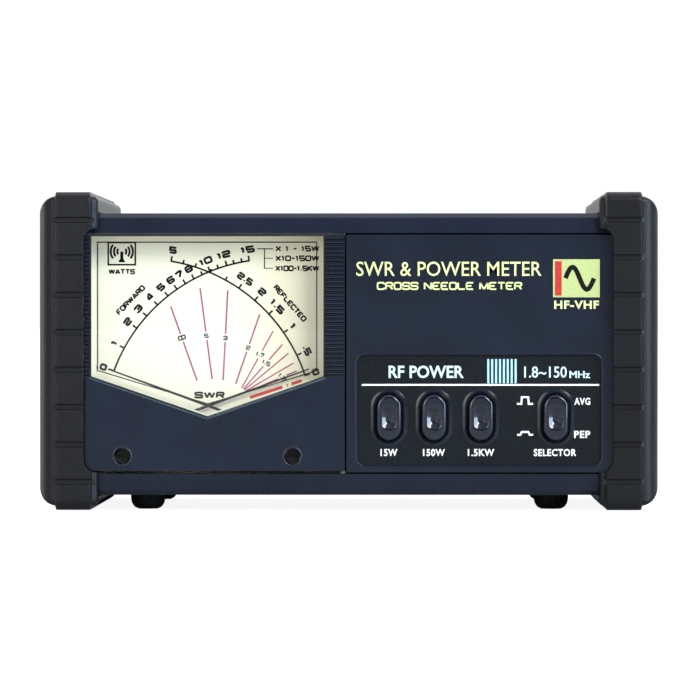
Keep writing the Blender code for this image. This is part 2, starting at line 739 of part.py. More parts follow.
# ---------------------------------------------------------------- controls


def make_button(word, x):
    """A push button: its cap, plunger and return spring."""
    origin = (x, 0.0, BUTTON_Z)
    mesh = prism(stadium(x, BUTTON_Z, CAP_WIDTH, CAP_HEIGHT, 7), CAP_FRONT, CAP_REAR)

    def front_edge(edge):
        return all(abs(vert.co.y - CAP_FRONT) < 0.01 for vert in edge.verts)

    bevelled(mesh, front_edge, 0.7, 3)
    cap = solid(f"{word}_cap", mesh, BUTTON_PLASTIC, origin)
    dimple = bmesh.new()
    bmesh.ops.create_uvsphere(dimple, u_segments=18, v_segments=10, radius=1.0)
    bmesh.ops.scale(dimple, verts=dimple.verts, vec=(2.75, 1.6, 3.3))
    bmesh.ops.translate(dimple, verts=dimple.verts, vec=(x, CAP_FRONT - 0.83, BUTTON_Z))
    cut(cap, dimple)
    socket = rectangle(x - 1.8, x + 1.8, BUTTON_Z - 1.8, BUTTON_Z + 1.8)
    cut(cap, prism(socket, -48.5, CAP_REAR + 1))

    rod = rectangle(x - 1.5, x + 1.5, BUTTON_Z - 1.5, BUTTON_Z + 1.5)
    solid(f"{word}_plunger", prism(rod, -48.2, PLUNGER_END), WHITE_INSULATOR, origin)

    turns, points = 4, 9
    first, last = CAP_REAR + 0.6, SWITCH_FRONT - 0.6
    wire = bpy.data.curves.new(f"{word}_spring", "CURVE")
    wire.dimensions = "3D"
    wire.bevel_depth = 0.28 * MM
    wire.bevel_resolution = 0
    wire.use_fill_caps = True
    path = wire.splines.new("POLY")
    path.points.add(turns * points)
    for index, point in enumerate(path.points):
        share = index / (turns * points)
        angle = math.tau * turns * share
        along = first + (last - first) * share
        coil = Vector((2.85 * math.cos(angle), along, 2.85 * math.sin(angle)))
        point.co = (*(coil * MM), 1.0)
    spring = bpy.data.objects.new(f"{word}_spring", wire)
    spring.location = place(origin)
    wire.materials.append(material(*STEEL))
    bpy.context.scene.collection.objects.link(spring)


def make_switches():
    """The range switch block with its latch bar, the mode switch and the board they are soldered to."""
    low_z, high_z = BUTTON_Z - 5.4, BUTTON_Z + 5.4
    bodies = {
        "range_switch_block": (RANGE_BUTTONS["low"] - 4.8, RANGE_BUTTONS["high"] + 4.8),
        "mode_switch_body": (MODE_BUTTON_X - 4.4, MODE_BUTTON_X + 4.4),
    }
    for name, (left, right) in bodies.items():
        body = solid(name, block(left, right, SWITCH_FRONT, SWITCH_REAR, low_z, high_z), SWITCH_PLASTIC)
        channels = []
        channel_end = PLUNGER_END + BUTTON_TRAVEL + 1.5
        for x in [*RANGE_BUTTONS.values(), MODE_BUTTON_X]:
            if left < x < right:
                across = (x - 1.95, x + 1.95, SWITCH_FRONT - 1, channel_end)
                channels.append((*across, BUTTON_Z - 1.95, BUTTON_Z + 1.95))
        cut(body, blocks(channels))
        if name == "range_switch_block":
            cut(body, block(left - 1, right + 1, -33.4, -28.6, high_z - 1.0, high_z + 1))
            bar = block(left - 1, right - 0.3, -33, -29, high_z - 0.7, high_z + 0.4)
            latch = solid("latch_bar", bar, STEEL, (left, -31, high_z))
            slots = [
                (x - 1.5, x + 1.5, -32, -30, high_z - 2, high_z + 2) for x in RANGE_BUTTONS.values()
            ]
            cut(latch, blocks(slots))
    board_front = SWITCH_REAR + GAP
    board = solid("control_board", block(1.5, 61.0, board_front, board_front + 1.6, 8.0, 66.0), BOARD)
    cut(board, prism(circle(5.5, 62.0, 1.6, 12), board_front - 1, board_front + 3))
    cut(board, prism(circle(57.0, 62.0, 1.6, 12), board_front - 1, board_front + 3))


# ---------------------------------------------------------------- radio-frequency part


def make_rf_part():
    half, low_z, high_z, front, back, wall = 45.0, 18.0, 50.0, 12.0, 43.9, 1.5
    box = solid("sensor_box", block(-half, half, front, back, low_z, high_z), STEEL)
    cut(box, block(wall - half, half - wall, front - 1, back - wall, low_z + wall, high_z - wall))
    holes = bmesh.new()
    for x in (-SOCKET_X, SOCKET_X):
        add_prism(holes, circle(x, SOCKET_Z, 7.9), back - 3, back + 1)
    cut(box, holes)

    flange = (REAR_FACE + GAP, REAR_FACE + GAP + 1.6)
    half_flange = SOCKET_FLANGE / 2
    for word, x in (("tx", SOCKET_X), ("antenna", -SOCKET_X)):
        centre = (x, SOCKET_Z)
        shell = [(5.3, 38.5), (7.5, 38.5), (7.5, flange[0] + 0.5), (SOCKET_THREAD_RADIUS, flange[0] + 0.5)]
        shell += [(SOCKET_THREAD_RADIUS, SOCKET_MOUTH - 0.5), (7.4, SOCKET_MOUTH), (6.3, SOCKET_MOUTH)]
        shell += [(6.3, 49.5), (5.3, 49.5)]
        socket = solid(f"{word}_socket", turned(shell, centre, "Y", 22), NICKEL)
        plate = bmesh.new()
        corners = rectangle(x - half_flange, x + half_flange, SOCKET_Z - half_flange, SOCKET_Z + half_flange)
        add_prism(plate, rounded(corners, 1.5, 2), *flange)
        plate_object = solid(f"{word}_flange_plate", plate, NICKEL)
        cut(plate_object, prism(circle(*centre, 7.0, 20), flange[0] - 1, flange[1] + 1))
        plate_object.hide_render = True
        plate_object.display_type = "WIRE"
        fuse = socket.modifiers.new("fuse", "BOOLEAN")
        fuse.operation = "UNION"
        fuse.object = plate_object
        holes = bmesh.new()
        for dx in (-9.1, 9.1):
            for dz in (-9.1, 9.1):
                add_prism(holes, circle(x + dx, SOCKET_Z + dz, 1.7, 8), flange[0] - 1, flange[1] + 1)
        cut(socket, holes)
        sleeve = [(3.0, 38.0), (5.0, 38.0), (5.0, 57.5), (3.0, 57.5)]
        solid(f"{word}_insulator", turned(sleeve, centre, "Y", 16), WHITE_INSULATOR)

    line_y = 28.0
    rod = turned([(0, -SOCKET_X - 1.5), (1.5, -SOCKET_X - 1.5), (1.5, SOCKET_X + 1.5), (0, SOCKET_X + 1.5)],
                 (line_y, SOCKET_Z), "X", 10)
    line = solid("through_line", rod, BRASS)
    for x in (-SOCKET_X, SOCKET_X):
        contact = [(0, line_y - 1.4), (1.45, line_y - 1.4), (1.45, 36.5), (2.7, 37.0), (2.7, 57.3)]
        contact += [(2.0, 57.3), (2.0, 48.0), (0, 47.0)]
        join(line, turned(contact, (x, SOCKET_Z), "Y", 12))

    ring = [(3.4, -2.5), (4.0, -3.1), (7.4, -3.1), (8.0, -2.5), (8.0, 2.5), (7.4, 3.1), (4.0, 3.1), (3.4, 2.5)]
    solid("pickup_toroid", turned(ring, (line_y, SOCKET_Z), "X", 16), FERRITE)

    jack = [(0, 36.0), (3.9, 36.0), (3.9, flange[0]), (5.6, flange[0]), (5.6, 48.0), (5.1, 48.5), (2.8, 48.5)]
    jack += [(2.8, 38.5), (1.05, 38.5), (1.05, 46.4), (0, 46.8)]
    solid("lamp_supply_jack", turned(jack, (0, JACK_Z), "Y", 18), SWITCH_PLASTIC)


def main():
    clear_scene()
    make_front_frame()
    make_control_panel()
    make_cabinet()
    make_feet()
    make_guard("left_guard", -1)
    make_guard("right_guard", 1)
    make_guard_screws()
    make_meter_case()
    make_scale_plate()
    make_window()
    make_dial_mask()
    make_meter_frame()
    make_lower_cover()
    make_movement("forward", 1)
    make_movement("reflected", -1)
    for word, x in RANGE_BUTTONS.items():
        make_button(f"range_{word}", x)
    make_button("mode", MODE_BUTTON_X)
    make_switches()
    make_rf_part()


main()
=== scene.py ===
"""The looks of a cross-needle SWR and power meter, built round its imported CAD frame.

Sizes are in millimetres in the frame's own axes: +X to the right seen from the front, the dial faces -Y,
+Z is up and the feet stand on z = 0. Places along Y come from the boxes of the CAD nodes.
"""

import json
import math

import bmesh
import bpy
from mathutils import Matrix, Vector


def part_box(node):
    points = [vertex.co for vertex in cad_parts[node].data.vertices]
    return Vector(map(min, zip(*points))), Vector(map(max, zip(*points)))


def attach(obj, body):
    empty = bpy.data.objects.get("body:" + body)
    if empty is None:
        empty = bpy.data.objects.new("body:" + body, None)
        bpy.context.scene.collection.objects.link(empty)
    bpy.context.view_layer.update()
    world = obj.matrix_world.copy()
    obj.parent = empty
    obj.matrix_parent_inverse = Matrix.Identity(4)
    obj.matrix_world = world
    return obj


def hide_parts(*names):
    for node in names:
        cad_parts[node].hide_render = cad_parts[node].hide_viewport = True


MM = 0.001

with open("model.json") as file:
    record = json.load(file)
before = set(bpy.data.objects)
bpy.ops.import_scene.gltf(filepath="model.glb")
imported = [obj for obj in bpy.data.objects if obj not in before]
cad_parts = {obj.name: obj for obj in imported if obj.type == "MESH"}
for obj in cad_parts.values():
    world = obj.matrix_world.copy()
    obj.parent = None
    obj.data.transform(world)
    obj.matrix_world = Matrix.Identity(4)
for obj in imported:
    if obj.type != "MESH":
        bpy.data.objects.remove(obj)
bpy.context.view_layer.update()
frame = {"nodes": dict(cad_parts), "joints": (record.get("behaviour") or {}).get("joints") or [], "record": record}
NODES = frame["nodes"]


def low(node):
    """The lowest corner of a CAD node in millimetres."""
    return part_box(node)[0] / MM


def high(node):
    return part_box(node)[1] / MM


def middle(node):
    """The middle of a CAD node's box, seen from the front."""
    start, end = low(node), high(node)
    return (start.x + end.x) / 2, (start.z + end.z) / 2


DIAL = low("scale_plate").y
PANEL_FRONT = low("control_panel").y
RECESS_FLOOR = PANEL_FRONT + 0.7


# ---------- outlines


def rectangle(a0, a1, b0, b1):
    return [(a0, b0), (a1, b0), (a1, b1), (a0, b1)]


def polar(centre, radius, degrees):
    angle = math.radians(degrees)
    return centre[0] + radius * math.cos(angle), centre[1] + radius * math.sin(angle)


def circle(centre, radius, steps):
    return [polar(centre, radius, 360.0 * step / steps) for step in range(steps)]


def rounded(corners, radius, steps=8):
    """The closed outline through corners, each one rounded."""
    outline = []
    for index, corner in enumerate(corners):
        here = Vector(corner)
        before = (Vector(corners[index - 1]) - here).normalized()
        after = (Vector(corners[(index + 1) % len(corners)]) - here).normalized()
        half_angle = before.angle(after) / 2
        centre = here + (before + after).normalized() * (radius / math.sin(half_angle))
        start = here + before * (radius / math.tan(half_angle)) - centre
        end = here + after * (radius / math.tan(half_angle)) - centre
        turn = math.atan2(start.x * end.y - start.y * end.x, start.dot(end))
        for step in range(steps + 1):
            outline.append(tuple(centre + Matrix.Rotation(turn * step / steps, 2) @ start))
    return outline


def stadium(centre, width, height, steps=16):
    """An upright slot with round ends."""
    radius = width / 2
    reach = height / 2 - radius
    outline = []
    for start, level in ((0.0, centre[1] + reach), (180.0, centre[1] - reach)):
        for step in range(steps + 1):
            outline.append(polar((centre[0], level), radius, start + 180.0 * step / steps))
    return outline


def quarter(steps):
    """(1 - cos, 1 - sin) of the angles through a right angle."""
    turns = [math.tau / 4 * step / steps for step in range(steps + 1)]
    return [(1 - math.cos(turn), 1 - math.sin(turn)) for turn in turns]


# ---------- meshes

RING_STEPS = 64
PRINT_SMOOTH = 30.0


def add_loft(mesh, rings, ends="closed"):
    """Adds a skin through rings of points. Its ends are closed, open, or joined to each other."""
    made = [[mesh.verts.new(point) for point in ring] for ring in rings]
    faces = []
    for ring, after in zip(made, made[1:] + (made[:1] if ends == "joined" else [])):
        for i in range(len(ring)):
            j = (i + 1) % len(ring)
            faces.append(mesh.faces.new((ring[i], ring[j], after[j], after[i])))
    if ends == "closed":
        faces.append(mesh.faces.new(made[0]))
        faces.append(mesh.faces.new(made[-1]))
    bmesh.ops.recalc_face_normals(mesh, faces=faces)
    return made


def add_prism(mesh, outline, start, end, axis="Y"):
    """Adds the outline drawn out along an axis: y, where it is seen from the front, or x."""
    add_loft(mesh, [[(at, a, b) if axis == "X" else (a, at, b) for a, b in outline] for at in (start, end)])


def prism(outline, start, end, axis="Y"):
    mesh = bmesh.new()
    add_prism(mesh, outline, start, end, axis)
    return mesh


def add_turned(mesh, profile, centre, steps):
    """Adds a closed solid turned round a line along y. profile holds (radius, y), from the line back to it."""
    rings = [[(a, y, b) for a, b in circle(centre, radius, steps)] for radius, y in profile[1:-1]]
    made = add_loft(mesh, rings, "open")
    tips = [mesh.verts.new((centre[0], profile[end][1], centre[1])) for end in (0, -1)]
    faces = []
    for tip, ring in zip(tips, (made[0], made[-1])):
        for i in range(steps):
            faces.append(mesh.faces.new((tip, ring[i], ring[(i + 1) % steps])))
    bmesh.ops.recalc_face_normals(mesh, faces=mesh.faces)


def add_ring(mesh, profile, centre):
    """Adds a solid turned round a line along y, with a hole in it. profile is a closed outline."""
    rings = []
    for turn in range(RING_STEPS):
        around = [(polar(centre, radius, 360.0 * turn / RING_STEPS), y) for radius, y in profile]
        rings.append([(x, y, z) for (x, z), y in around])
    add_loft(mesh, rings, "joined")


def merge(mesh, part):
    """Adds a part to a mesh and frees it."""
    data = bpy.data.meshes.new("part")
    part.to_mesh(data)
    part.free()
    mesh.from_mesh(data)
    bpy.data.meshes.remove(data)


def add_object(name, data):
    item = bpy.data.objects.new(name, data)
    bpy.context.scene.collection.objects.link(item)
    return item


def to_object(name, mesh):
    """The mesh, in millimetres, as an object in metres."""
    bmesh.ops.scale(mesh, verts=mesh.verts, vec=(MM, MM, MM))
    data = bpy.data.meshes.new(name)
    mesh.to_mesh(data)
    mesh.free()
    return add_object(name, data)


def add_modifier(item, kind, **settings):
    modifier = item.modifiers.new(kind.lower(), kind)
    for name, value in settings.items():
        setattr(modifier, name, value)


def evaluated_mesh(item):
    """The object's mesh as its modifiers or its curve make it."""
    bpy.context.view_layer.update()
    made = bmesh.new()
    made.from_mesh(bpy.data.meshes.new_from_object(item.evaluated_get(bpy.context.evaluated_depsgraph_get())))
    return made


def piece(name, mesh, finish, body="cabinet", smooth=PRINT_SMOOTH):
    """One visible piece that rides on a CAD body."""
    item = to_object(name, mesh)
    item.data.materials.append(FINISHES[finish].material)
    item.data.shade_smooth()
    item.data.set_sharp_from_angle(angle=math.radians(smooth))
    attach(item, body)
    return item


def cut(mesh, cutters):
    """The mesh with the cutter meshes taken out of it, as a new one."""
    item = to_object("uncut", mesh)
    tools = [to_object("cutter", cutter) for cutter in cutters]
    for tool in tools:
        add_modifier(item, "BOOLEAN", operation="DIFFERENCE", object=tool, solver="EXACT")
    result = evaluated_mesh(item)
    bmesh.ops.scale(result, verts=result.verts, vec=(1 / MM, 1 / MM, 1 / MM))
    for unused in [item, *tools]:
        bpy.data.objects.remove(unused)
    return result


# ---------- printing

PRINT_PROUD = 0.03
PRINT_SUNK = 0.02


def add_flat(mesh, outline, plane=DIAL):
    """A thin printed shape on the front of the plane y = plane."""
    add_prism(mesh, outline, plane - PRINT_PROUD, plane + PRINT_SUNK)


def add_stroke(mesh, points, width, plane=DIAL):
    """A printed line through points, of one width, with square ends."""
    points = [Vector(point) for point in points]
    left, right = [], []
    for index, point in enumerate(points):
        before = points[max(index - 1, 0)]
        after = points[min(index + 1, len(points) - 1)]
        if index in (0, len(points) - 1):
            run = (after - before).normalized()
            spread = 1.0
        else:
            first = (point - before).normalized()
            second = (after - point).normalized()
            run = (first + second).normalized()
            spread = 1 / max(run.dot(first), 0.4)
        side = Vector((-run.y, run.x)) * (width / 2 * spread)
        left.append(tuple(point + side))
        right.append(tuple(point - side))
    add_flat(mesh, left + right[::-1], plane)


def add_text(mesh, word, centre, height, plane, width=None, bold=0.02, spacing=1.0, side=-1):
    """A printed word on the front (-1) or back (1) of a plane, fitted to width if that is given."""
    curve = bpy.data.curves.new("word", "FONT")
    curve.body = word
    curve.offset = bold
    curve.space_character = spacing
    curve.resolution_u = 3
    curve.extrude = 0.5
    holder = add_object("word", curve)
    glyphs = evaluated_mesh(holder)
    bpy.data.objects.remove(holder)
    bmesh.ops.remove_doubles(glyphs, verts=glyphs.verts, dist=1e-5)
    xs = [vert.co.x for vert in glyphs.verts]
    ys = [vert.co.y for vert in glyphs.verts]
    up = height / (max(ys) - min(ys))
    across = width / (max(xs) - min(xs)) if width else up
    mid_x, mid_y = (max(xs) + min(xs)) / 2, (max(ys) + min(ys)) / 2
    for vert in glyphs.verts:
        right, rise = (vert.co.x - mid_x) * across, (vert.co.y - mid_y) * up
        along = plane + side * (PRINT_PROUD if vert.co.z > 0 else -PRINT_SUNK)
        vert.co = (centre[0] - side * right, along, centre[1] + rise)
    bmesh.ops.recalc_face_normals(glyphs, faces=glyphs.faces)
    merge(mesh, glyphs)


# A letter and its strokes, each a run of marks on a grid: across and up, 0 to 4, then "!" where a corner is sharp.
LETTERS = """
0 04 44 40 00 04
1 03 24 20
2 03 04 44 42 02 00 40
3 03 04 44 40 00 01, 12 42
4 30 34 24 01 41
5 44 04! 02! 42 40 00
6 43 44 04 00 40 42 02
7 03 04 44 10
8 04 44 40 00 04, 02 42
A 00 24 40, 11 31
C 43 44 04 00 40 41
D 00 04 44 40 00
E 44 04 00 40, 02 32
F 44 04 00, 02 32
G 43 44 04 00 40 42 22
H 00 04, 40 44, 02 42
K 00 04, 44 02, 12 40
L 04 00 40
M 00 04 20 44 40
N 00 04 40 44
O 04 44 40 00 04
P 00 04 44 42 02
R 00 04 44 42 02, 22 40
S 43 44 04 02 42 40 00 01
T 04 44, 24 20
V 04 20 44
W 04 10 24 30 44
X 04 40, 00 44
- 02 42
. 20 21
~ 01 13 31 43
"""
STROKES = {line[0]: line[2:].split(", ") for line in LETTERS.strip().split("\n")}
CELL_WIDTHS = {"1": 0.5, ".": 0.3, "-": 0.6, " ": 0.5, "W": 1.4, "M": 1.2, "A": 1.15, "V": 1.15}
SHARP_TURN = math.radians(75)
LETTER_BEND = 0.3


def softened(points, radius, hard):
    """The line with its corners rounded, but not those in hard."""
    closed = points[0] == points[-1]
    ring = points[:-1] if closed else points
    line = []
    for index, point in enumerate(ring):
        if point in hard or not closed and index in (0, len(ring) - 1):
            line.append(Vector(point))
            continue
        here = Vector(point)
        legs = [Vector(ring[index - 1]) - here, Vector(ring[(index + 1) % len(ring)]) - here]
        start, end = (here + leg.normalized() * min(radius, leg.length * 0.45) for leg in legs)
        for step in range(5):
            share = step / 4
            line.append(start * (1 - share) ** 2 + here * 2 * share * (1 - share) + end * share**2)
    if closed:
        line += line[:1]
    return line


def split_at_tips(points):
    """The open lines that a stroke falls into where it turns back sharply."""
    lines = [points[:1]]
    for before, here, after in zip(points, points[1:], points[2:]):
        lines[-1].append(here)
        if (Vector(before) - Vector(here)).angle(Vector(after) - Vector(here)) < SHARP_TURN:
            lines.append([here])
    lines[-1].append(points[-1])
    return lines


def add_letters(mesh, word, centre, height, width, turn, weight, gap=0.3, plane=DIAL):
    """Square-shouldered lettering drawn in strokes. height and width are those of the inked word."""
    shares = [CELL_WIDTHS.get(letter, 1.0) for letter in word]
    cell = (width - weight) / (sum(shares) + gap * (len(word) - 1))
    tall = height - weight
    spin = Matrix.Rotation(math.radians(turn), 2)
    left = -(width - weight) / 2
    for letter, share in zip(word, shares):
        for stroke in STROKES.get(letter, []):
            points, hard = [], []
            for mark in stroke.split():
                across, up = int(mark[0]) / 4, int(mark[1]) / 4
                points.append((left + across * cell * share, (up - 0.5) * tall))
                if mark.endswith("!"):
                    hard.append(points[-1])
            for part in split_at_tips(points):
                line = softened(part, LETTER_BEND * min(tall, cell), hard)
                add_stroke(mesh, [Vector(centre) + spin @ point for point in line], weight, plane)
        left += cell * (share + gap)


# ---------- materials


class Nodes:
    """The node tree of a material or of the world, and its shader node."""

    def __init__(self, owner, shader):
        owner.use_nodes = True
        self.tree = owner.node_tree
        self.shader = self.tree.nodes[shader]

    def node(self, kind, **settings):
        made = self.tree.nodes.new(kind)
        for name, value in settings.items():
            setattr(made, name, value)
        return made

    def link(self, source, target):
        self.tree.links.new(source, target)

    def feed(self, sockets, values):
        """Gives each socket its link, colour or number."""
        for socket, value in zip(sockets, values):
            if isinstance(value, bpy.types.NodeSocket):
                self.link(value, socket)
            else:
                socket.default_value = (*value, 1.0) if isinstance(value, tuple) else value

    def math(self, kind, *values):
        made = self.node("ShaderNodeMath", operation=kind)
        self.feed(made.inputs, values)
        return made.outputs[0]

    def span(self, source, start, end, least, most, interpolation="LINEAR"):
        made = self.node("ShaderNodeMapRange", interpolation_type=interpolation)
        self.feed(made.inputs, (source, start, end, least, most))
        return made.outputs["Result"]


class Finish(Nodes):
    """A material: one Principled BSDF and the nodes that feed it."""

    def __init__(self, name):
        self.material = bpy.data.materials.new(name)
        super().__init__(self.material, "Principled BSDF")
        self.coords = self.node("ShaderNodeTexCoord").outputs["Object"]

    def set(self, **values):
        for name, value in values.items():
            self.shader.inputs[name.replace("_", " ")].default_value = value
        return self

    def noise(self, size_mm, detail=2.0, rough=0.5, stretch=None):
        """Noise whose features are about size_mm across, optionally stretched along the axes."""
        made = self.node("ShaderNodeTexNoise")
        sockets = [made.inputs[name] for name in ("Scale", "Detail", "Roughness")]
        self.feed(sockets, (1 / (size_mm * MM), detail, rough))
        source = self.coords
        if stretch:
            mapping = self.node("ShaderNodeMapping")
            mapping.inputs["Scale"].default_value = stretch
            self.link(source, mapping.inputs["Vector"])
            source = mapping.outputs["Vector"]
        self.link(source, made.inputs["Vector"])
        return made.outputs["Fac"]

    def ramp(self, source, stops):
        """A colour or grey ramp through stops of (place, colour)."""
        made = self.node("ShaderNodeValToRGB")
        elements = made.color_ramp.elements
        while len(elements) < len(stops):
            elements.new(0.5)
        for element, (place, colour) in zip(elements, stops):
            element.position = place
            element.color = (*colour, 1.0) if isinstance(colour, tuple) else (colour, colour, colour, 1.0)
        self.link(source, made.inputs["Fac"])
        return made.outputs["Color"]

    def mix(self, factor, first, second, mode="MIX"):
        made = self.node("ShaderNodeMix", data_type="RGBA", blend_type=mode)
        self.feed((made.inputs[0], made.inputs[6], made.inputs[7]), (factor, first, second))
        return made.outputs[2]

    def tints(self, noise, start, end, first, second):
        """Two tints of one colour, mixed by a noise."""
        return self.mix(self.ramp(noise, [(start, 0.0), (end, 1.0)]), first, second)

    def colour(self, source):
        self.link(source, self.shader.inputs["Base Color"])

    def roughness(self, noise, least, most):
        self.link(self.span(noise, 0.3, 0.7, least, most), self.shader.inputs["Roughness"])

    def bump(self, source, depth_mm):
        """Adds a bump to any that is there already."""
        made = self.node("ShaderNodeBump")
        made.inputs["Distance"].default_value = depth_mm * MM
        normal = self.shader.inputs["Normal"]
        if normal.links:
            self.link(normal.links[0].from_socket, made.inputs["Normal"])
        self.link(source, made.inputs["Height"])
        self.link(made.outputs["Normal"], normal)


def plastic(name, colour, tint, rough, grain, depth, specular, patch=14.0):
    """A moulded plastic: a fine grain, faintly cloudy colour and a roughness that follows the grain."""
    finish = Finish(name)
    fine = finish.noise(grain, 3.0, 0.6)
    base = finish.tints(finish.noise(patch, 3.0), 0.35, 0.65, colour, tint)
    finish.colour(finish.mix(1.0, base, finish.ramp(fine, [(0.35, 0.9), (0.7, 1.1)]), "MULTIPLY"))
    finish.roughness(fine, *rough)
    finish.bump(fine, depth)
    return finish.set(Specular_IOR_Level=specular)


def metal(name, colour, tint, rough, brush=(1, 1, 1), brush_size=0.5, depth=0.004):
    """A metal with faint machining or brushing marks along one axis."""
    finish = Finish(name)
    marks = finish.noise(brush_size, 3.0, 0.6, brush)
    finish.colour(finish.tints(finish.noise(9.0), 0.3, 0.7, colour, tint))
    finish.roughness(marks, *rough)
    finish.bump(marks, depth)
    return finish.set(Metallic=1.0)


def ink(name, colour, tint, rough=0.5, specular=0.3):
    """Screen printing ink: slightly uneven in tone and cover."""
    finish = Finish(name)
    finish.colour(finish.tints(finish.noise(0.6), 0.4, 0.7, colour, tint))
    finish.bump(finish.noise(0.2), 0.002)
    return finish.set(Roughness=rough, Specular_IOR_Level=specular)


# Name: colour, its second tint, least and most roughness, grain, grain depth, specular level, patch.
PLASTICS = {
    "guard_plastic": ((0.0036, 0.0036, 0.0052), (0.0052, 0.0053, 0.0076), (0.3, 0.44), 0.42, 0.055, 0.25, 22.0),
    "frame_plastic": ((0.0048, 0.0084, 0.0195), (0.0066, 0.011, 0.024), (0.2, 0.28), 0.4, 0.003, 0.3),
    "cover_plastic": ((0.0036, 0.0078, 0.0195), (0.0052, 0.0102, 0.0245), (0.18, 0.26), 0.4, 0.002, 0.34),
    "panel_plastic": ((0.0052, 0.0088, 0.0185), (0.007, 0.0114, 0.023), (0.2, 0.28), 0.4, 0.003, 0.3),
    "button_plastic": ((0.0012, 0.0036, 0.0125), (0.0018, 0.0048, 0.0155), (0.09, 0.15), 0.5, 0.002, 0.62),
    "rib_plastic": ((0.0075, 0.011, 0.021), (0.0095, 0.0135, 0.025), (0.16, 0.24), 0.4, 0.003, 0.5),
    # The lip is paler than the cover it sits on: a painted highlight along the cover's V edge.
    "lip_painted_highlight": ((0.026, 0.05, 0.068), (0.04, 0.07, 0.09), (0.2, 0.3), 0.4, 0.002, 0.5, 9.0),
    "recess_film": ((0.0042, 0.0062, 0.0088), (0.0056, 0.0082, 0.0114), (0.26, 0.34), 0.4, 0.004, 0.2),
    "collar_plastic": ((0.0042, 0.0066, 0.013), (0.0056, 0.0088, 0.016), (0.16, 0.24), 0.4, 0.002, 0.34),
    "switch_plastic": ((0.005, 0.005, 0.0055), (0.007, 0.007, 0.008), (0.45, 0.6), 0.5, 0.006, 0.15),
    "case_plastic": ((0.78, 0.77, 0.71), (0.7, 0.69, 0.63), (0.5, 0.6), 0.5, 0.004, 0.4, 30.0),
    "white_insulator": ((0.8, 0.79, 0.75), (0.7, 0.69, 0.65), (0.35, 0.5), 0.5, 0.004, 0.45, 6.0),
    "foot_rubber": ((0.008, 0.008, 0.009), (0.014, 0.014, 0.015), (0.6, 0.8), 0.5, 0.02, 0.3, 5.0),
    "cabinet_paint": ((0.012, 0.0125, 0.014), (0.016, 0.0165, 0.0185), (0.5, 0.66), 0.7, 0.05, 0.3, 30.0),
    "needle_black": ((0.006, 0.006, 0.007), (0.012, 0.012, 0.013), (0.5, 0.65), 0.4, 0.002, 0.2),
    "ferrite": ((0.05, 0.05, 0.055), (0.08, 0.08, 0.085), (0.45, 0.7), 0.4, 0.03, 0.5, 4.0),
    "circuit_board": ((0.2, 0.13, 0.05), (0.27, 0.19, 0.08), (0.4, 0.55), 0.9, 0.006, 0.45, 10.0),
}
# Name: colour, its second tint, least and most roughness, stretch, size and depth of its marks.
METALS = {
    "copper": ((0.62, 0.25, 0.11), (0.75, 0.34, 0.17), (0.25, 0.4), (1, 6, 1), 0.4, 0.01),
    "brass": ((0.62, 0.44, 0.19), (0.7, 0.52, 0.25), (0.25, 0.4)),
    "steel": ((0.46, 0.47, 0.48), (0.56, 0.57, 0.58), (0.28, 0.42), (1, 8, 1), 0.8),
    "magnet_iron": ((0.13, 0.13, 0.14), (0.19, 0.19, 0.2), (0.4, 0.55), (1, 1, 1), 0.8, 0.02),
    "nickel": ((0.66, 0.64, 0.58), (0.74, 0.72, 0.67), (0.16, 0.3), (1, 1, 1), 0.6),
    "black_screw": ((0.035, 0.035, 0.038), (0.055, 0.055, 0.06), (0.3, 0.45)),
}
# Name: colour, its second tint, roughness, specular level.
INKS = {
    "ink_black": ((0.003, 0.003, 0.004), (0.008, 0.008, 0.01), 0.6, 0.1),
    "ink_red": ((0.4, 0.085, 0.2), (0.46, 0.13, 0.26)),
    "ink_band": ((0.6, 0.03, 0.03), (0.7, 0.07, 0.06)),
    "ink_white": ((0.86, 0.88, 0.86), (0.72, 0.74, 0.73)),
    "ink_pale_blue": ((0.6, 0.8, 0.88), (0.5, 0.68, 0.76)),
    "ink_stripe_blue": ((0.4, 0.68, 0.76), (0.32, 0.56, 0.64)),
    "ink_yellow": ((0.72, 0.8, 0.36), (0.6, 0.68, 0.3)),
    "ink_badge": ((0.44, 0.52, 0.22), (0.37, 0.45, 0.17)),
    "ink_emblem": ((0.42, 0.02, 0.02), (0.5, 0.035, 0.03)),
}
FINISHES = {name: plastic(name, *values) for name, values in PLASTICS.items()}
FINISHES.update({name: metal(name, *values) for name, values in METALS.items()})
FINISHES.update({name: ink(name, *values) for name, values in INKS.items()})
FINISHES["guard_plastic"].bump(FINISHES["guard_plastic"].noise(1.6, 2.0), 0.015)


def dial_card():
    """Cream card with painted shade: a little warmer and darker towards its upper right corner, standing in for the
    window frame's shadow.
    """
    card = Finish("dial_plate")
    place = card.node("ShaderNodeSeparateXYZ")
    card.link(card.node("ShaderNodeTexCoord").outputs["Generated"], place.inputs[0])
    across = card.math("MULTIPLY", place.outputs["X"], 0.9)
    slant = card.math("MULTIPLY_ADD", place.outputs["Z"], 0.6, across)
    # Painted shade: darker and warmer towards the upper right corner, in place of the frame's shadow on the card.
    painted_corner_shade = card.ramp(card.math("MULTIPLY", slant, 0.66), [(0.5, 1.0), (0.95, (0.94, 0.935, 0.87))])
    base = card.tints(card.noise(18.0, 3.0), 0.3, 0.75, (0.93, 0.89, 0.73), (0.905, 0.868, 0.70))
    card.colour(card.mix(1.0, base, painted_corner_shade, "MULTIPLY"))
    card.roughness(card.noise(0.3, 3.0), 0.5, 0.62)
    card.bump(card.noise(0.22), 0.003)
    return card.set(Specular_IOR_Level=0.25)


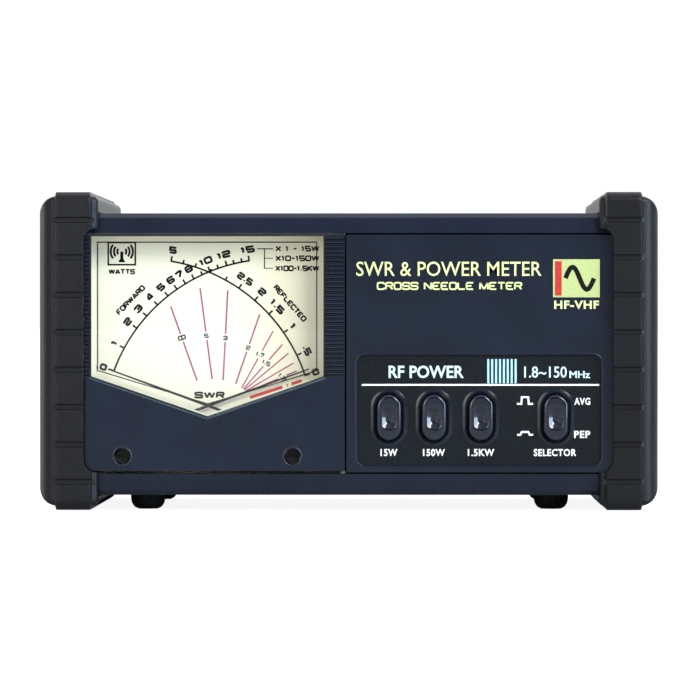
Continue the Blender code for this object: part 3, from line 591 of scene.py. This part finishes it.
def clear_plastic():
    """Clear moulding with faint handling marks. Lamps shine through it without caustics."""
    finish = Finish("window_clear")
    finish.set(Base_Color=(0.985, 0.99, 0.985, 1.0), IOR=1.49, Transmission_Weight=1.0)
    finish.roughness(finish.noise(3.0, 4.0), 0.0, 0.012)
    path = finish.node("ShaderNodeLightPath")
    through = finish.node("ShaderNodeBsdfTransparent")
    through.inputs["Color"].default_value = (0.93, 0.94, 0.93, 1.0)
    either = finish.math("MAXIMUM", path.outputs["Is Shadow Ray"], path.outputs["Is Diffuse Ray"])
    blend = finish.node("ShaderNodeMixShader")
    finish.feed(blend.inputs, (either, finish.shader.outputs[0], through.outputs[0]))
    finish.link(blend.outputs[0], finish.tree.nodes["Material Output"].inputs["Surface"])
    return finish


FINISHES["dial_plate"] = dial_card()
FINISHES["window_clear"] = clear_plastic()

# ---------- CAD nodes: finishes and soft edges

# All other nodes take the finish that their material slot names.
OWN_FINISH = {
    "meter_lower_cover": "cover_plastic",
    "forward_zero_screw": "switch_plastic",
    "reflected_zero_screw": "switch_plastic",
    "meter_frame": "rib_plastic",
    "dial_mask": "dial_plate",
}
SOFT_EDGES = {"front_bezel": 0.25, "control_panel": 0.32, "meter_lower_cover": 0.35, "rear_panel": 0.15}


def dress_nodes():
    for subpart in frame["record"]["subparts"]:
        node = subpart["node"]
        finish = OWN_FINISH.get(node, subpart["material_slot"])
        NODES[node].data.materials.clear()
        NODES[node].data.materials.append(FINISHES[finish].material)
    for name, width in SOFT_EDGES.items():
        item = NODES[name]
        add_modifier(item, "WELD", merge_threshold=0.002 * MM)
        add_modifier(item, "DECIMATE", decimate_type="DISSOLVE", angle_limit=math.radians(0.6))
        edges = {"width": width * MM, "limit_method": "ANGLE", "angle_limit": math.radians(38)}
        add_modifier(item, "BEVEL", segments=3, harden_normals=True, **edges)
        add_modifier(item, "WEIGHTED_NORMAL", keep_sharp=True)


dress_nodes()

# ---------- end guards

HOOK_INNER, GUARD_FRONT, GUARD_LOW = low("right_guard")
GUARD_OUTER, GUARD_REAR, GUARD_HIGH = high("right_guard")
TREAD = (62.4, 70.9)
CORE_DEPTH = 0.95
GUARD_ROUND = 4.6
GUARD_WALL = 2.6
SCREW_HEAD_HOLE = 3.3
SCREW_HEAD_DEPTH = 2.1
SCREW_SHANK_HOLE = 1.8
GUARD_END_WALL = 5.0
FIT = 0.3
HOOK_LIP = 1.3
TREAD_EDGE = 0.28
PATH_RADIUS = 2.4
LEAST_RADIUS = 0.5
GUARD_OPENING = rounded(rectangle(-64.1, 64.1, 9.4, 68.4), 3.0)
GROOVE_PITCH = 9.05
GROOVE_DEPTH = 0.75
GROOVE_EDGES = [(-1.15, 0.0), (-0.84, 0.0), (-0.72, 0.06), (-0.63, 0.24), (-0.57, GROOVE_DEPTH)]
GROOVE_EDGES += [(-place, depth) for place, depth in reversed(GROOVE_EDGES)]
HALF_Y = (GUARD_REAR - GUARD_FRONT) / 2
HALF_Z = (GUARD_HIGH - GUARD_LOW) / 2
CORNER_RUN = math.tau / 4 * PATH_RADIUS
GUARD_SIDES = [(HALF_Z, HALF_Y, 8), (HALF_Y, HALF_Z, 11)] * 2


def guard_path(along, inset):
    """The point at a length along the rounded rectangle that the tread follows, moved inwards by inset."""
    outward, run = Vector((-1, 0)), Vector((0, 1))
    radius = max(PATH_RADIUS - inset, LEAST_RADIUS)
    for half, across, _ in GUARD_SIDES:
        straight = half - PATH_RADIUS
        inner_straight = half - inset - radius
        if along < 2 * straight:
            return outward * (across - inset) + run * (along - straight) * (inner_straight / straight)
        along -= 2 * straight
        if along < CORNER_RUN:
            angle = along / PATH_RADIUS
            normal = outward * math.cos(angle) + run * math.sin(angle)
            return outward * (across - inset - radius) + run * inner_straight + normal * radius
        along -= CORNER_RUN
        outward, run = run, -outward


def guard_stations():
    """Stations round the guard: (length along its path, tread depth)."""
    grooves, corners = [], []
    start = 0.0
    for half, _, count in GUARD_SIDES:
        straight = half - PATH_RADIUS
        grooves += [start + straight + (step - (count - 1) / 2) * GROOVE_PITCH for step in range(count)]
        corners += [start + 2 * straight + CORNER_RUN * step / 8 for step in range(9)]
        start += 2 * straight + CORNER_RUN
    places = [(groove + offset, depth) for groove in grooves for offset, depth in GROOVE_EDGES]
    places += [(corner % start, 0.0) for corner in corners]
    return sorted(places)


def guard_profile(groove):
    """(x, depth below the tread) from the hook's lip to the end wall."""
    profile = [(HOOK_INNER + HOOK_LIP * a, CORE_DEPTH + HOOK_LIP * b) for a, b in quarter(4)]
    profile += [(TREAD[0] + TREAD_EDGE * a, max(TREAD_EDGE * b, groove)) for a, b in quarter(3)]
    profile += [(TREAD[0] + 1.0, groove), (TREAD[1] - 1.0, groove)]
    profile += [(TREAD[1] - TREAD_EDGE * b, max(TREAD_EDGE * a, groove)) for a, b in quarter(3)]
    for a, b in quarter(10)[1:]:
        x = GUARD_OUTER - GUARD_ROUND * b
        if x > TREAD[1] + 0.05:
            profile.append((x, CORE_DEPTH + GUARD_ROUND * a))
    return profile


def guard_cutters():
    """What the cabinet and the screws take out of the right-hand guard."""
    shell_low, shell_high = low("rear_panel").z - FIT, high("rear_panel").z + FIT
    panel_front = low("control_panel").y
    rear = high("rear_panel").y
    inside = high("rear_panel").x + FIT
    pocket = prism(rectangle(50, inside, shell_low, shell_high), panel_front - FIT, rear + FIT)
    wall = rectangle(inside - 1, GUARD_OUTER - GUARD_WALL, 7.0, 70.6)
    hollow = prism(wall, GUARD_FRONT + GUARD_END_WALL, GUARD_REAR - GUARD_END_WALL)
    front = prism(GUARD_OPENING, GUARD_FRONT - 2, panel_front)
    back = prism(GUARD_OPENING, rear, GUARD_REAR + 2)
    cutters = [pocket, hollow, front, back]
    for node in ("guard_screw_front_right", "guard_screw_rear_right"):
        place = ((low(node) + high(node)) / 2).yz
        cutters.append(prism(circle(place, SCREW_HEAD_HOLE, 32), GUARD_OUTER - SCREW_HEAD_DEPTH, GUARD_OUTER + 2, "X"))
        cutters.append(prism(circle(place, SCREW_SHANK_HOLE, 24), inside, GUARD_OUTER - 1, "X"))
    return cutters


def make_guard(hand):
    mesh = bmesh.new()
    rings = []
    centre = Vector((0, (GUARD_REAR + GUARD_FRONT) / 2, (GUARD_LOW + GUARD_HIGH) / 2))
    for along, depth in guard_stations():
        rings.append([centre + Vector((x, *guard_path(along, inset))) for x, inset in guard_profile(depth)])
    add_loft(mesh, list(zip(*rings)))
    mesh = cut(mesh, guard_cutters())
    wall_front = low("control_panel").y
    rim = []
    for edge in mesh.edges:
        if len(edge.link_faces) != 2 or edge.calc_face_angle(0.0) < math.radians(50):
            continue
        a, b = (vert.co for vert in edge.verts)
        on_opening = max(a.x, b.x) < 64.15 and max(a.y, b.y) < wall_front - 0.5 and 9.3 < a.z < 68.5
        on_recess = min(a.x, b.x) > GUARD_OUTER - 0.05
        if on_opening or on_recess:
            rim.append(edge)
    bmesh.ops.bevel(mesh, geom=rim, offset=0.45, segments=4, profile=0.5, affect="EDGES", clamp_overlap=True)
    if hand == "left":
        bmesh.ops.scale(mesh, verts=mesh.verts, vec=(-1, 1, 1))
        bmesh.ops.reverse_faces(mesh, faces=mesh.faces)
    guard = piece(f"{hand}_end_guard", mesh, "guard_plastic", smooth=50)
    add_modifier(guard, "WEIGHTED_NORMAL", keep_sharp=True)
    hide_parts(f"{hand}_guard")


for end in ("left", "right"):
    make_guard(end)

# ---------- meter

WINDOW_FLANGE = 1.1
WINDOW_SLOPE = 9.66 / 28.13


def window_outline(grow):
    """The window's five sides, each moved outwards by grow."""
    centre = middle("meter_window")[0]
    side = high("meter_window").x - centre - WINDOW_FLANGE + grow
    top = high("meter_window").z - WINDOW_FLANGE + grow
    apex = low("meter_window").z + math.hypot(1, WINDOW_SLOPE) * (WINDOW_FLANGE - grow)
    corner = apex + WINDOW_SLOPE * side
    left, right = centre - side, centre + side
    return [(centre, apex), (right, corner), (right, top), (left, top), (left, corner)]


def make_hole_rims():
    """A fine raised lip round each hole over a zero screw."""
    mesh = bmesh.new()
    face = low("meter_lower_cover").y
    for word in ("forward", "reflected"):
        lip = [(2.02, face + 0.3), (2.02, face - 0.02), (2.1, face - 0.1), (2.2, face - 0.12), (2.3, face - 0.1)]
        lip += [(2.45, face + 0.02), (2.45, face + 0.1), (2.2, face + 0.3)]
        add_ring(mesh, lip, middle(f"{word}_zero_screw"))
    piece("zero_hole_rims", mesh, "rib_plastic", smooth=60)


make_hole_rims()


def make_shroud():
    """A dark sleeve between the window and the meter frame, with a strip over both: painted shadow in the gaps round
    the window and along the top of the meter frame.
    """
    back = high("meter_frame").y - 0.02
    outline = window_outline(0.27)
    right, left = outline[1][0], outline[3][0]
    far_left, far_right = low("meter_frame").x + 0.1, high("meter_frame").x - 0.1
    shelf, top = high("meter_frame").z + 0.04, high("meter_frame").z + 0.5
    shape = [outline[0], outline[1], (right, shelf), (far_right, shelf), (far_right, top)]
    shape += [(far_left, top), (far_left, shelf), (left, shelf), outline[4]]
    mesh = cut(prism(shape, back - 1.9, back), [prism(window_outline(0.02), back - 5, back + 5)])
    # Black rubber finish: the sleeve and strip paint the shadow in these gaps.
    piece("window_shadow_shroud", mesh, "foot_rubber", smooth=40)


make_shroud()


def make_cover_lip():
    """The rounded bead along the V-shaped upper edge of the lower cover, in a paler plastic that paints a highlight
    along that edge.
    """
    face = low("meter_lower_cover").y
    section = [(0.0, 0.35), (0.03, 0.1), (0.1, 0.0), (0.2, -0.07), (0.3, -0.09), (0.4, -0.07), (0.5, 0.03)]
    outlines = [(window_outline(0.3 + across), face + depth) for across, depth in section]
    mesh = bmesh.new()
    add_loft(mesh, [[(outline[at][0], y, outline[at][1]) for outline, y in outlines] for at in (4, 0, 1)])
    piece("cover_lip", mesh, "lip_painted_highlight", smooth=60)


make_cover_lip()

# ---------- buttons

BUTTONS = ("range_low", "range_mid", "range_high", "mode")
CAP_EDGE = 0.75
CAP_STEPS = 20
CAP_LEVELS = 30
SCOOP_HALF_WIDTH = 2.3
SCOOP_HALF_HEIGHT = 2.9
SCOOP_DEPTH = 0.76
SCOOP_POWER = 2.3
SCOOP_SLOPE = 0.6


def scoop_dip(x, z):
    """How deep the finger scoop is at a place on a cap: a long slope down to a flat floor."""
    reach = abs(x / SCOOP_HALF_WIDTH) ** SCOOP_POWER + abs(z / SCOOP_HALF_HEIGHT) ** SCOOP_POWER
    rise = min(1.0, max(0.0, 1 - reach ** (1 / SCOOP_POWER)) / SCOOP_SLOPE)
    return SCOOP_DEPTH * (0.8 * rise + 0.2 * rise * rise * (3 - 2 * rise))


def make_cap(word):
    """A push button's cap: a rounded rim round a front with a finger scoop in it."""
    node = f"{word}_cap"
    centre = middle(node)
    width, _, height = high(node) - low(node)
    front = low(node).y
    rings = []
    section = [(0.0, high(node).y)] + [(CAP_EDGE * a, front + CAP_EDGE * b) for a, b in quarter(6)]
    for inset, along in section:
        rings.append([(a, along, b) for a, b in stadium(centre, width - 2 * inset, height - 2 * inset, CAP_STEPS)])
    rim = stadium((0, 0), width - 2 * CAP_EDGE, height - 2 * CAP_EDGE, CAP_STEPS)
    for level in range(1, CAP_LEVELS):
        ring = [Vector(place) * (1 - level / CAP_LEVELS) for place in rim]
        rings.append([(centre[0] + a, front + scoop_dip(a, b), centre[1] + b) for a, b in ring])
    mesh = bmesh.new()
    add_loft(mesh, rings)
    cap = piece(f"{word}_button_cap", mesh, "button_plastic", f"{word}_button", 60)
    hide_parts(node)


def make_collars():
    """A raised collar round each button: a rounded crest, then a slope down to the recess."""
    section = [(6.34, 11.43, 0.9), (6.34, 11.43, 0.16), (6.44, 11.53, 0.06), (6.7, 11.8, 0.0), (7.2, 12.3, -0.07)]
    section += [(7.5, 12.6, -0.155), (7.66, 12.76, -0.17), (7.8, 12.9, -0.16)]
    section += [(8.0, 13.1, -0.13), (8.5, 13.6, -0.06), (9.0, 14.1, 0.0), (9.1, 14.2, 0.03)]
    section += [(8.1, 13.1, 0.12), (8.1, 13.1, 0.9)]
    mesh = bmesh.new()
    for word in BUTTONS:
        centre = middle(f"{word}_cap")
        rings = []
        for width, height, depth in section:
            rings.append([(a, RECESS_FLOOR + depth, b) for a, b in stadium(centre, width, height, 24)])
        add_loft(mesh, rings, "joined")
    piece("button_collars", mesh, "collar_plastic", smooth=50)


RECESS = (2.06, 61.2, 10.9, 37.9)
RECESS_CORNER = 2.2
WELL = (7.6, 12.7)


def make_recess():
    """A matt film on the floor of the recess round the buttons, and the recess's rounded lip."""
    corners = rectangle(*RECESS)
    film = prism(rounded(corners, RECESS_CORNER), RECESS_FLOOR - 0.012, RECESS_FLOOR + 0.1)
    wells = [stadium(middle(f"{word}_cap"), *WELL) for word in BUTTONS]
    film = cut(film, [prism(well, RECESS_FLOOR - 1, RECESS_FLOOR + 1) for well in wells])
    piece("recess_film", film, "recess_film")
    lip = bmesh.new()
    section = [(0.5, 0.03), (0.42, -0.03), (0.2, -0.05), (0.02, 0.05), (-0.12, 0.3), (-0.16, 0.72)]
    left, right, bottom, top = RECESS
    rings = []
    for grow, depth in section:
        grown = rectangle(left - grow, right + grow, bottom - grow, top + grow)
        rings.append([(a, PANEL_FRONT + depth, b) for a, b in rounded(grown, RECESS_CORNER + grow)])
    add_loft(lip, rings, "joined")
    piece("recess_lip", lip, "frame_plastic", smooth=60)


make_recess()
for button in BUTTONS:
    make_cap(button)
make_collars()

# ---------- back

REAR = high("rear_panel").y
FLANGE = REAR + 1.9
FLANGE_HOLE = 9.1
THREAD_PITCH = 1.06
THREAD_INSIDE, THREAD_ROOT, THREAD_CREST = 7.7, 7.97, 8.28
FLANGE_SCREW, PANEL_SCREW = 2.6, 2.7
REAR_SCREWS = [(x, z) for x in (58.0, -58.0) for z in (63.5, 14.0)]


def screw_head(mesh, centre, plane, radius, turn):
    """Adds a pan head with a cross slot, standing on y = plane and facing backwards."""
    tall = radius * 0.5
    profile = [(0, plane - 0.3), (radius, plane - 0.3), (radius, plane + tall * 0.35)]
    for angle in (20, 40, 60, 75):
        bend = math.radians(angle)
        profile.append((radius * math.cos(bend), plane + tall * (0.35 + 0.65 * math.sin(bend))))
    profile.append((0, plane + tall))
    head = bmesh.new()
    add_turned(head, profile, centre, 32)
    slots = []
    for angle in (turn, turn + 90):
        spin = Matrix.Rotation(math.radians(angle), 2)
        corners = rectangle(-radius * 0.55, radius * 0.55, -radius * 0.12, radius * 0.12)
        outline = [tuple(Vector(centre) + spin @ Vector(corner)) for corner in corners]
        slots.append(prism(outline, plane + tall * 0.3, plane + tall + 1))
    merge(mesh, cut(head, slots))


def make_back():
    """Socket threads, screws and plain labels on the rear panel."""
    threads, flange_screws, panel_screws, labels = bmesh.new(), bmesh.new(), bmesh.new(), bmesh.new()
    for node, word in (("tx_socket", "TX"), ("antenna_socket", "ANT")):
        x, z = middle(node)
        end = high(node).y - 0.5
        profile = [(THREAD_INSIDE, FLANGE - 0.1), (THREAD_ROOT, FLANGE - 0.1)]
        y = FLANGE + 0.6
        while y + THREAD_PITCH < end:
            profile += [(THREAD_ROOT, y), (THREAD_CREST, y + 0.4 * THREAD_PITCH)]
            profile.append((THREAD_CREST, y + 0.55 * THREAD_PITCH))
            y += THREAD_PITCH
        profile += [(THREAD_ROOT, y), (THREAD_ROOT, end), (THREAD_INSIDE, end)]
        add_ring(threads, profile, (x, z))
        for index, (dx, dz) in enumerate(rectangle(-FLANGE_HOLE, FLANGE_HOLE, -FLANGE_HOLE, FLANGE_HOLE)):
            screw_head(flange_screws, (x + dx, z + dz), FLANGE, FLANGE_SCREW, 17.0 + 31.0 * index + x)
        add_text(labels, word, (x, z + 16.5), 3.2, REAR, None, 0.012, side=1)
    for index, place in enumerate(REAR_SCREWS):
        screw_head(panel_screws, place, REAR, PANEL_SCREW, 12.0 + 37.0 * index)
    x, z = middle("lamp_supply_jack")
    add_text(labels, "DC 12V", (x + 14.0, z), 2.4, REAR, None, 0.01, side=1)
    piece("socket_threads", threads, "nickel", smooth=25)
    piece("flange_screws", flange_screws, "steel", smooth=35)
    piece("rear_panel_screws", panel_screws, "black_screw", smooth=35)
    piece("rear_print", labels, "ink_white")


make_back()

# ---------- the dial

PIVOT = {}
for joint in frame["joints"]:
    if joint["name"].endswith("_deflection"):
        PIVOT[joint["name"].split("_")[0]] = (joint["pos_m"][0] / MM, joint["pos_m"][2] / MM)
ARC = 41.6
NUMBERS = 44.35
FORWARD_TICKS = [159.9, 151.5, 143.6, 138.3, 133.1, 128.5, 124.7, 121.3, 118.0, 114.9, 112.1, 109.1, 106.1, 103.6]
FORWARD_TICKS += [100.9, 98.4]
FORWARD_NUMBERS = {watts: str(watts) for watts in (*range(9), 10, 12, 15)}
REFLECTED_TICKS = [18.5, 25.8, 34.6, 42.6, 49.2, 55.9, 61.2, 67.0, 72.3, 76.5, 80.6]
REFLECTED_NUMBERS = {0: "0", 1: ".5", 2: "1", 3: "1.5", 4: "2", 5: "2.5", 10: "5"}
# Each line of equal ratio: its upper end, its lower end, its label and the label's height.
SWR_LINES = [
    ((-43.45, 49.64), (-37.02, 31.50), "8", 42.0),
    ((-36.31, 54.15), (-33.36, 31.91), "5", 42.46),
    ((-29.54, 53.59), (-30.67, 31.65), "3", 41.92),
    ((-21.75, 47.71), (-27.62, 30.74), "2", 39.53),
    ((-18.48, 43.61), (-26.15, 29.72), "1.7", 37.85),
    ((-16.21, 40.34), (-25.71, 29.50), "1.5", 35.82),
    ((-14.75, 38.19), (-25.47, 29.28), "", None),
    ((-13.50, 35.82), (-25.20, 28.99), "", None),
    ((-12.72, 33.89), (-24.90, 28.75), "1.2", 32.4),
]
SYMBOL_BOX = (-58.7, -52.1, 59.8, 65.2)
ARC_LINE, TICK_LINE, BORDER_LINE, BOX_LINE = 0.44, 0.46, 0.26, 0.42
TICK_LENGTH = 0.95
NUMBERED_TICK_LENGTH = 1.25
NUMBER_WIDTHS = {"1": 1.5, "0": 1.7, ".5": 2.7, "10": 3.4, "12": 3.5, "15": 3.6, "1.5": 4.3, "2.5": 4.3}


def add_arc(mesh, centre, radius, first, last, steps, width):
    points = [polar(centre, radius, first + (last - first) * step / steps) for step in range(steps + 1)]
    add_stroke(mesh, points, width)


def add_scale(mesh, centre, ticks, numbers):
    """One printed scale: its arc, its ticks and its numbers, which stand square to the radius."""
    add_arc(mesh, centre, ARC, ticks[0], ticks[-1], 60, ARC_LINE)
    for index, degrees in enumerate(ticks):
        reach = NUMBERED_TICK_LENGTH if index in numbers else TICK_LENGTH
        add_stroke(mesh, [polar(centre, ARC - 0.1, degrees), polar(centre, ARC + reach, degrees)], TICK_LINE)
        if index in numbers:
            word = numbers[index]
            place = polar(centre, NUMBERS, degrees)
            add_letters(mesh, word, place, 1.8, NUMBER_WIDTHS.get(word, 2.0), degrees - 90, 0.54)




def add_frame_and_symbol(mesh):
    """The dial's border, the tree beside the range factors and the antenna symbol."""
    border = [(-61.3, 65.27), (-7.86, 65.27), (-7.86, 33.9), (-34.4, 25.86), (-61.3, 34.0)]
    lines = [(start, end, BORDER_LINE) for start, end in zip(border, border[1:] + border[:1])]
    lines += [((-22.4, 63.67), (-18.5, 63.67), BORDER_LINE), ((-20.6, 63.8), (-20.6, 58.8), BORDER_LINE)]
    lines += [((-20.6, 61.37), (-18.5, 61.37), 0.2), ((-20.6, 58.93), (-18.5, 58.93), 0.2)]
    mast = (SYMBOL_BOX[0] + SYMBOL_BOX[1]) / 2
    lines.append(((mast, 60.5), (mast, 63.0), 0.75))
    for start, end, width in lines:
        add_stroke(mesh, [start, end], width)
    box = rectangle(*SYMBOL_BOX)
    for start, end in zip(box, box[1:] + box[:1]):
        past = (Vector(end) - Vector(start)).normalized() * (BOX_LINE / 2)
        add_stroke(mesh, [Vector(start) - past, Vector(end) + past], BOX_LINE)
    add_flat(mesh, [(mast - 0.9, 60.4), (mast + 0.9, 60.4), (mast, 61.9)])
    for radius in (1.1, 1.9, 2.7):
        for start in (-38, 142):
            add_arc(mesh, (mast, 63.0), radius, start, start + 76, 10, 0.52)
    add_letters(mesh, "WATTS", (mast, 58.1), 1.35, 6.5, 0, 0.36)


def make_dial_print():
    black, red, band = bmesh.new(), bmesh.new(), bmesh.new()
    add_scale(black, PIVOT["forward"], FORWARD_TICKS, FORWARD_NUMBERS)
    add_scale(black, PIVOT["reflected"], REFLECTED_TICKS, REFLECTED_NUMBERS)
    add_letters(black, "FORWARD", (-53.25, 51.2), 1.5, 9.3, 45.8, 0.4)
    add_letters(black, "REFLECTED", (-14.35, 50.4), 1.45, 11.3, -48.7, 0.4)
    add_letters(black, "SWR", (-34.0, 28.0), 1.7, 7.4, 0, 0.48, 0.35)
    for word, z in (("X 1 - 15W", 63.7), ("X10-150W", 61.35), ("X100-1.5KW", 58.9)):
        add_letters(black, word, (-12.6, z), 1.45, 10.8, 0, 0.38)
    add_frame_and_symbol(black)
    for top, bottom, word, level in SWR_LINES:
        top, bottom = Vector(top), Vector(bottom)
        if not word:
            add_stroke(red, [top, bottom], 0.34)
            continue
        at = top + (bottom - top) * ((top.y - level) / (top.y - bottom.y))
        lean = math.degrees(math.atan2(bottom.x - top.x, top.y - bottom.y))
        if word == "8":
            add_letters(black, word, at, 2.0, 1.25, lean + 90, 0.34)
        else:
            add_letters(black, word, at, 1.15, 1.15 if len(word) == 1 else 2.2, lean * 0.6, 0.28)
        gap, width = (0.95, 0.42) if len(word) == 1 else (1.05, 0.36)
        space = (bottom - top).normalized() * gap
        add_stroke(red, [top, at - space], width)
        add_stroke(red, [at + space, bottom], width)
    add_stroke(band, [(-24.1, 27.45), (-16.2, 30.0)], 0.75)
    add_stroke(band, [(-14.0, 30.72), (-11.5, 31.53)], 0.75)
    add_letters(band, "1", (-15.0, 30.4), 1.0, 0.6, 16, 0.25)
    piece("dial_print_black", black, "ink_black")
    piece("dial_print_red", red, "ink_red")
    piece("dial_print_band", band, "ink_band")


make_dial_print()

# ---------- panel printing


PANEL_PRINT = {
    "panel_print_yellow": "ink_yellow",
    "panel_print_pale": "ink_pale_blue",
    "panel_print_stripes": "ink_stripe_blue",
    "panel_print_white": "ink_white",
    "emblem_field": "ink_badge",
    "emblem_bands": "ink_yellow",
    "emblem_wave": "ink_black",
    "emblem_edge": "ink_emblem",
}
EMBLEM = (49.5, 60.8, 51.8, 61.0)
STRIPES_LEFT, STRIPE_PITCH, STRIPE_WIDTH = 33.6, 0.945, 0.5
LABEL_HEIGHT = 1.75


def add_pulse(mesh, left, right, low_z, high_z, rise):
    """A flat-topped pulse drawn as one line."""
    shoulder = (right - left) * 0.3
    points = [(left, low_z), (left + shoulder - rise, low_z), (left + shoulder, high_z)]
    points += [(right - shoulder, high_z), (right - shoulder + rise, low_z), (right, low_z)]
    add_stroke(mesh, points, 0.45, RECESS_FLOOR)


def make_panel_print():
    """The title, the labels in the recess, and a plain badge with a wave in it."""
    sheets = {name: bmesh.new() for name in PANEL_PRINT}
    yellow, pale, stripes, white, field, bands, wave, edge = sheets.values()
    add_text(yellow, "SWR & POWER METER", (24.3, 58.7), 3.5, PANEL_FRONT, 44.8, 0.003)
    add_letters(yellow, "CROSS NEEDLE METER", (24.45, 54.55), 1.95, 35.2, 0, 0.38, 0.28, PANEL_FRONT)
    add_text(pale, "RF POWER", (18.8, 33.75), 3.05, RECESS_FLOOR, 18.2, 0.022)
    add_text(pale, "1.8~150", (47.7, 33.7), 2.75, RECESS_FLOOR, 10.3, 0.012)
    add_text(pale, "MHz", (56.0, 33.1), 1.7, RECESS_FLOOR, 5.0)
    for index in range(8):
        x = STRIPES_LEFT + index * STRIPE_PITCH
        add_flat(stripes, rectangle(x, x + STRIPE_WIDTH, 30.95, 36.85), RECESS_FLOOR)
    add_stroke(white, [(3.2, 30.6), (60.7, 30.6)], 0.42, RECESS_FLOOR)
    labels = [("15W", 9.8, 14.2, 4.1), ("150W", 20.7, 14.2, 5.3), ("1.5KW", 32.1, 14.2, 6.4)]
    labels += [("SELECTOR", 50.0, 14.2, 10.3), ("AVG", 56.6, 26.6, 3.9), ("PEP", 56.6, 18.6, 3.9)]
    for word, x, z, width in labels:
        add_text(white, word, (x, z), LABEL_HEIGHT, RECESS_FLOOR, width, 0.026, 1.1)
    add_pulse(white, 40.8, 44.7, 26.0, 27.6, 0.1)
    add_pulse(white, 40.8, 44.7, 18.5, 19.2, 0.35)

    left, right, bottom, top = EMBLEM
    add_flat(field, rectangle(*EMBLEM), PANEL_FRONT)
    add_text(bands, "HF-VHF", (55.2, 50.0), 2.0, PANEL_FRONT, 10.8, 0.03, 1.1)
    start, run, level = left + 3.0, right - left - 4.4, (bottom + top) / 2
    line = [(start + run * share, level + 2.7 * math.sin(math.tau * share)) for share in (i / 40 for i in range(41))]
    add_stroke(wave, line, 1.15, PANEL_FRONT - PRINT_PROUD)
    add_flat(edge, rectangle(left + 0.45, left + 2.1, bottom + 0.45, top - 0.45), PANEL_FRONT - PRINT_PROUD)
    for name, mesh in sheets.items():
        piece(name, mesh, PANEL_PRINT[name])


make_panel_print()

# ---------- stage, lights and camera

FLOOR_REACH = 40000.0
LIT_POINT = Vector((0.0, 0.0, 0.04))


def make_stage():
    plane = bmesh.new()
    corners = rectangle(-FLOOR_REACH, FLOOR_REACH, -FLOOR_REACH, FLOOR_REACH)
    plane.faces.new([plane.verts.new((*corner, 0.0)) for corner in corners])
    floor = to_object("floor", plane)
    finish = Finish("floor")
    finish.colour(finish.ramp(finish.noise(400.0, 2.0), [(0.3, 0.54), (0.7, 0.56)]))
    finish.set(Roughness=0.9, Specular_IOR_Level=0.0)
    finish.link(finish.node("ShaderNodeLightPath").outputs["Is Camera Ray"], finish.shader.inputs["Emission Strength"])
    finish.shader.inputs["Emission Color"].default_value = (0.90, 0.91, 0.92, 1.0)
    floor.data.materials.append(finish.material)


def softbox(name, place, width, height, watts, colour=(1.0, 1.0, 1.0)):
    lamp = bpy.data.lights.new(name, "AREA")
    lamp.shape = "RECTANGLE"
    lamp.size, lamp.size_y = width, height
    lamp.energy = watts
    lamp.color = colour
    item = add_object(name, lamp)
    item.location = place
    item.rotation_euler = (LIT_POINT - item.location).to_track_quat("-Z", "Y").to_euler()


def make_world():
    """White to the camera; as a light, bright from above and behind and dim from in front."""
    world = bpy.data.worlds.new("studio")
    bpy.context.scene.world = world
    nodes = Nodes(world, "Background")
    split = nodes.node("ShaderNodeSeparateXYZ")
    nodes.link(nodes.node("ShaderNodeTexCoord").outputs["Generated"], split.inputs[0])
    behind = nodes.span(split.outputs["Y"], -0.5, 0.5, 0.06, 1.0, "SMOOTHSTEP")
    above = nodes.span(split.outputs["Z"], 0.25, 0.9, 0.0, 0.8, "SMOOTHSTEP")
    to_camera = nodes.node("ShaderNodeLightPath").outputs["Is Camera Ray"]
    choose = nodes.node("ShaderNodeMix")
    light = nodes.math("MAXIMUM", behind, above)
    nodes.feed((choose.inputs[0], choose.inputs[2], choose.inputs[3]), (to_camera, light, 1.05))
    nodes.shader.inputs["Color"].default_value = (0.985, 0.995, 1.0, 1.0)
    nodes.link(choose.outputs[0], nodes.shader.inputs["Strength"])


CAMERA_AZIMUTH = 0.7
CAMERA_ELEVATION = 0.3
CAMERA_DISTANCE = 1.25
CAMERA_LENS = 265.5
CAMERA_TARGET = Vector((0.0, PANEL_FRONT * MM, 0.0388))
FRAME_SHIFT = (1.5 / 700, 1.0 / 700)


def make_camera():
    data = bpy.data.cameras.new("camera")
    data.lens = CAMERA_LENS
    data.sensor_width = 36.0
    data.clip_start, data.clip_end = 0.05, 60.0
    data.shift_x, data.shift_y = FRAME_SHIFT
    camera = add_object("camera", data)
    azimuth, elevation = math.radians(CAMERA_AZIMUTH), math.radians(CAMERA_ELEVATION)
    back = Matrix.Rotation(azimuth, 3, "Z") @ Vector((0.0, -math.cos(elevation), math.sin(elevation)))
    camera.location = CAMERA_TARGET + back * CAMERA_DISTANCE
    camera.rotation_euler = (-back).to_track_quat("-Z", "Y").to_euler()
    bpy.context.scene.camera = camera


make_stage()
make_world()
softbox("key", (0.8, -1.15, 0.9), 0.6, 0.6, 20.0, (1.0, 0.99, 0.97))
softbox("soft", (-0.7, -1.35, 0.38), 0.7, 0.7, 8.5, (0.99, 0.99, 1.0))
softbox("strip", (1.15, -0.75, 0.15), 0.45, 1.1, 24.0, (0.6, 0.8, 1.0))
softbox("fill", (-1.1, -0.6, 0.4), 0.5, 0.8, 1.0, (0.95, 0.98, 1.0))
softbox("rim_left", (-1.1, 0.35, 0.3), 0.5, 0.8, 5.0, (0.88, 0.97, 1.0))
softbox("top", (0.0, 0.1, 1.3), 1.4, 1.0, 5.0)
softbox("back", (0.7, 1.2, 0.9), 0.9, 0.9, 8.0)
make_camera()
bpy.context.scene.view_settings.view_transform = "Standard"
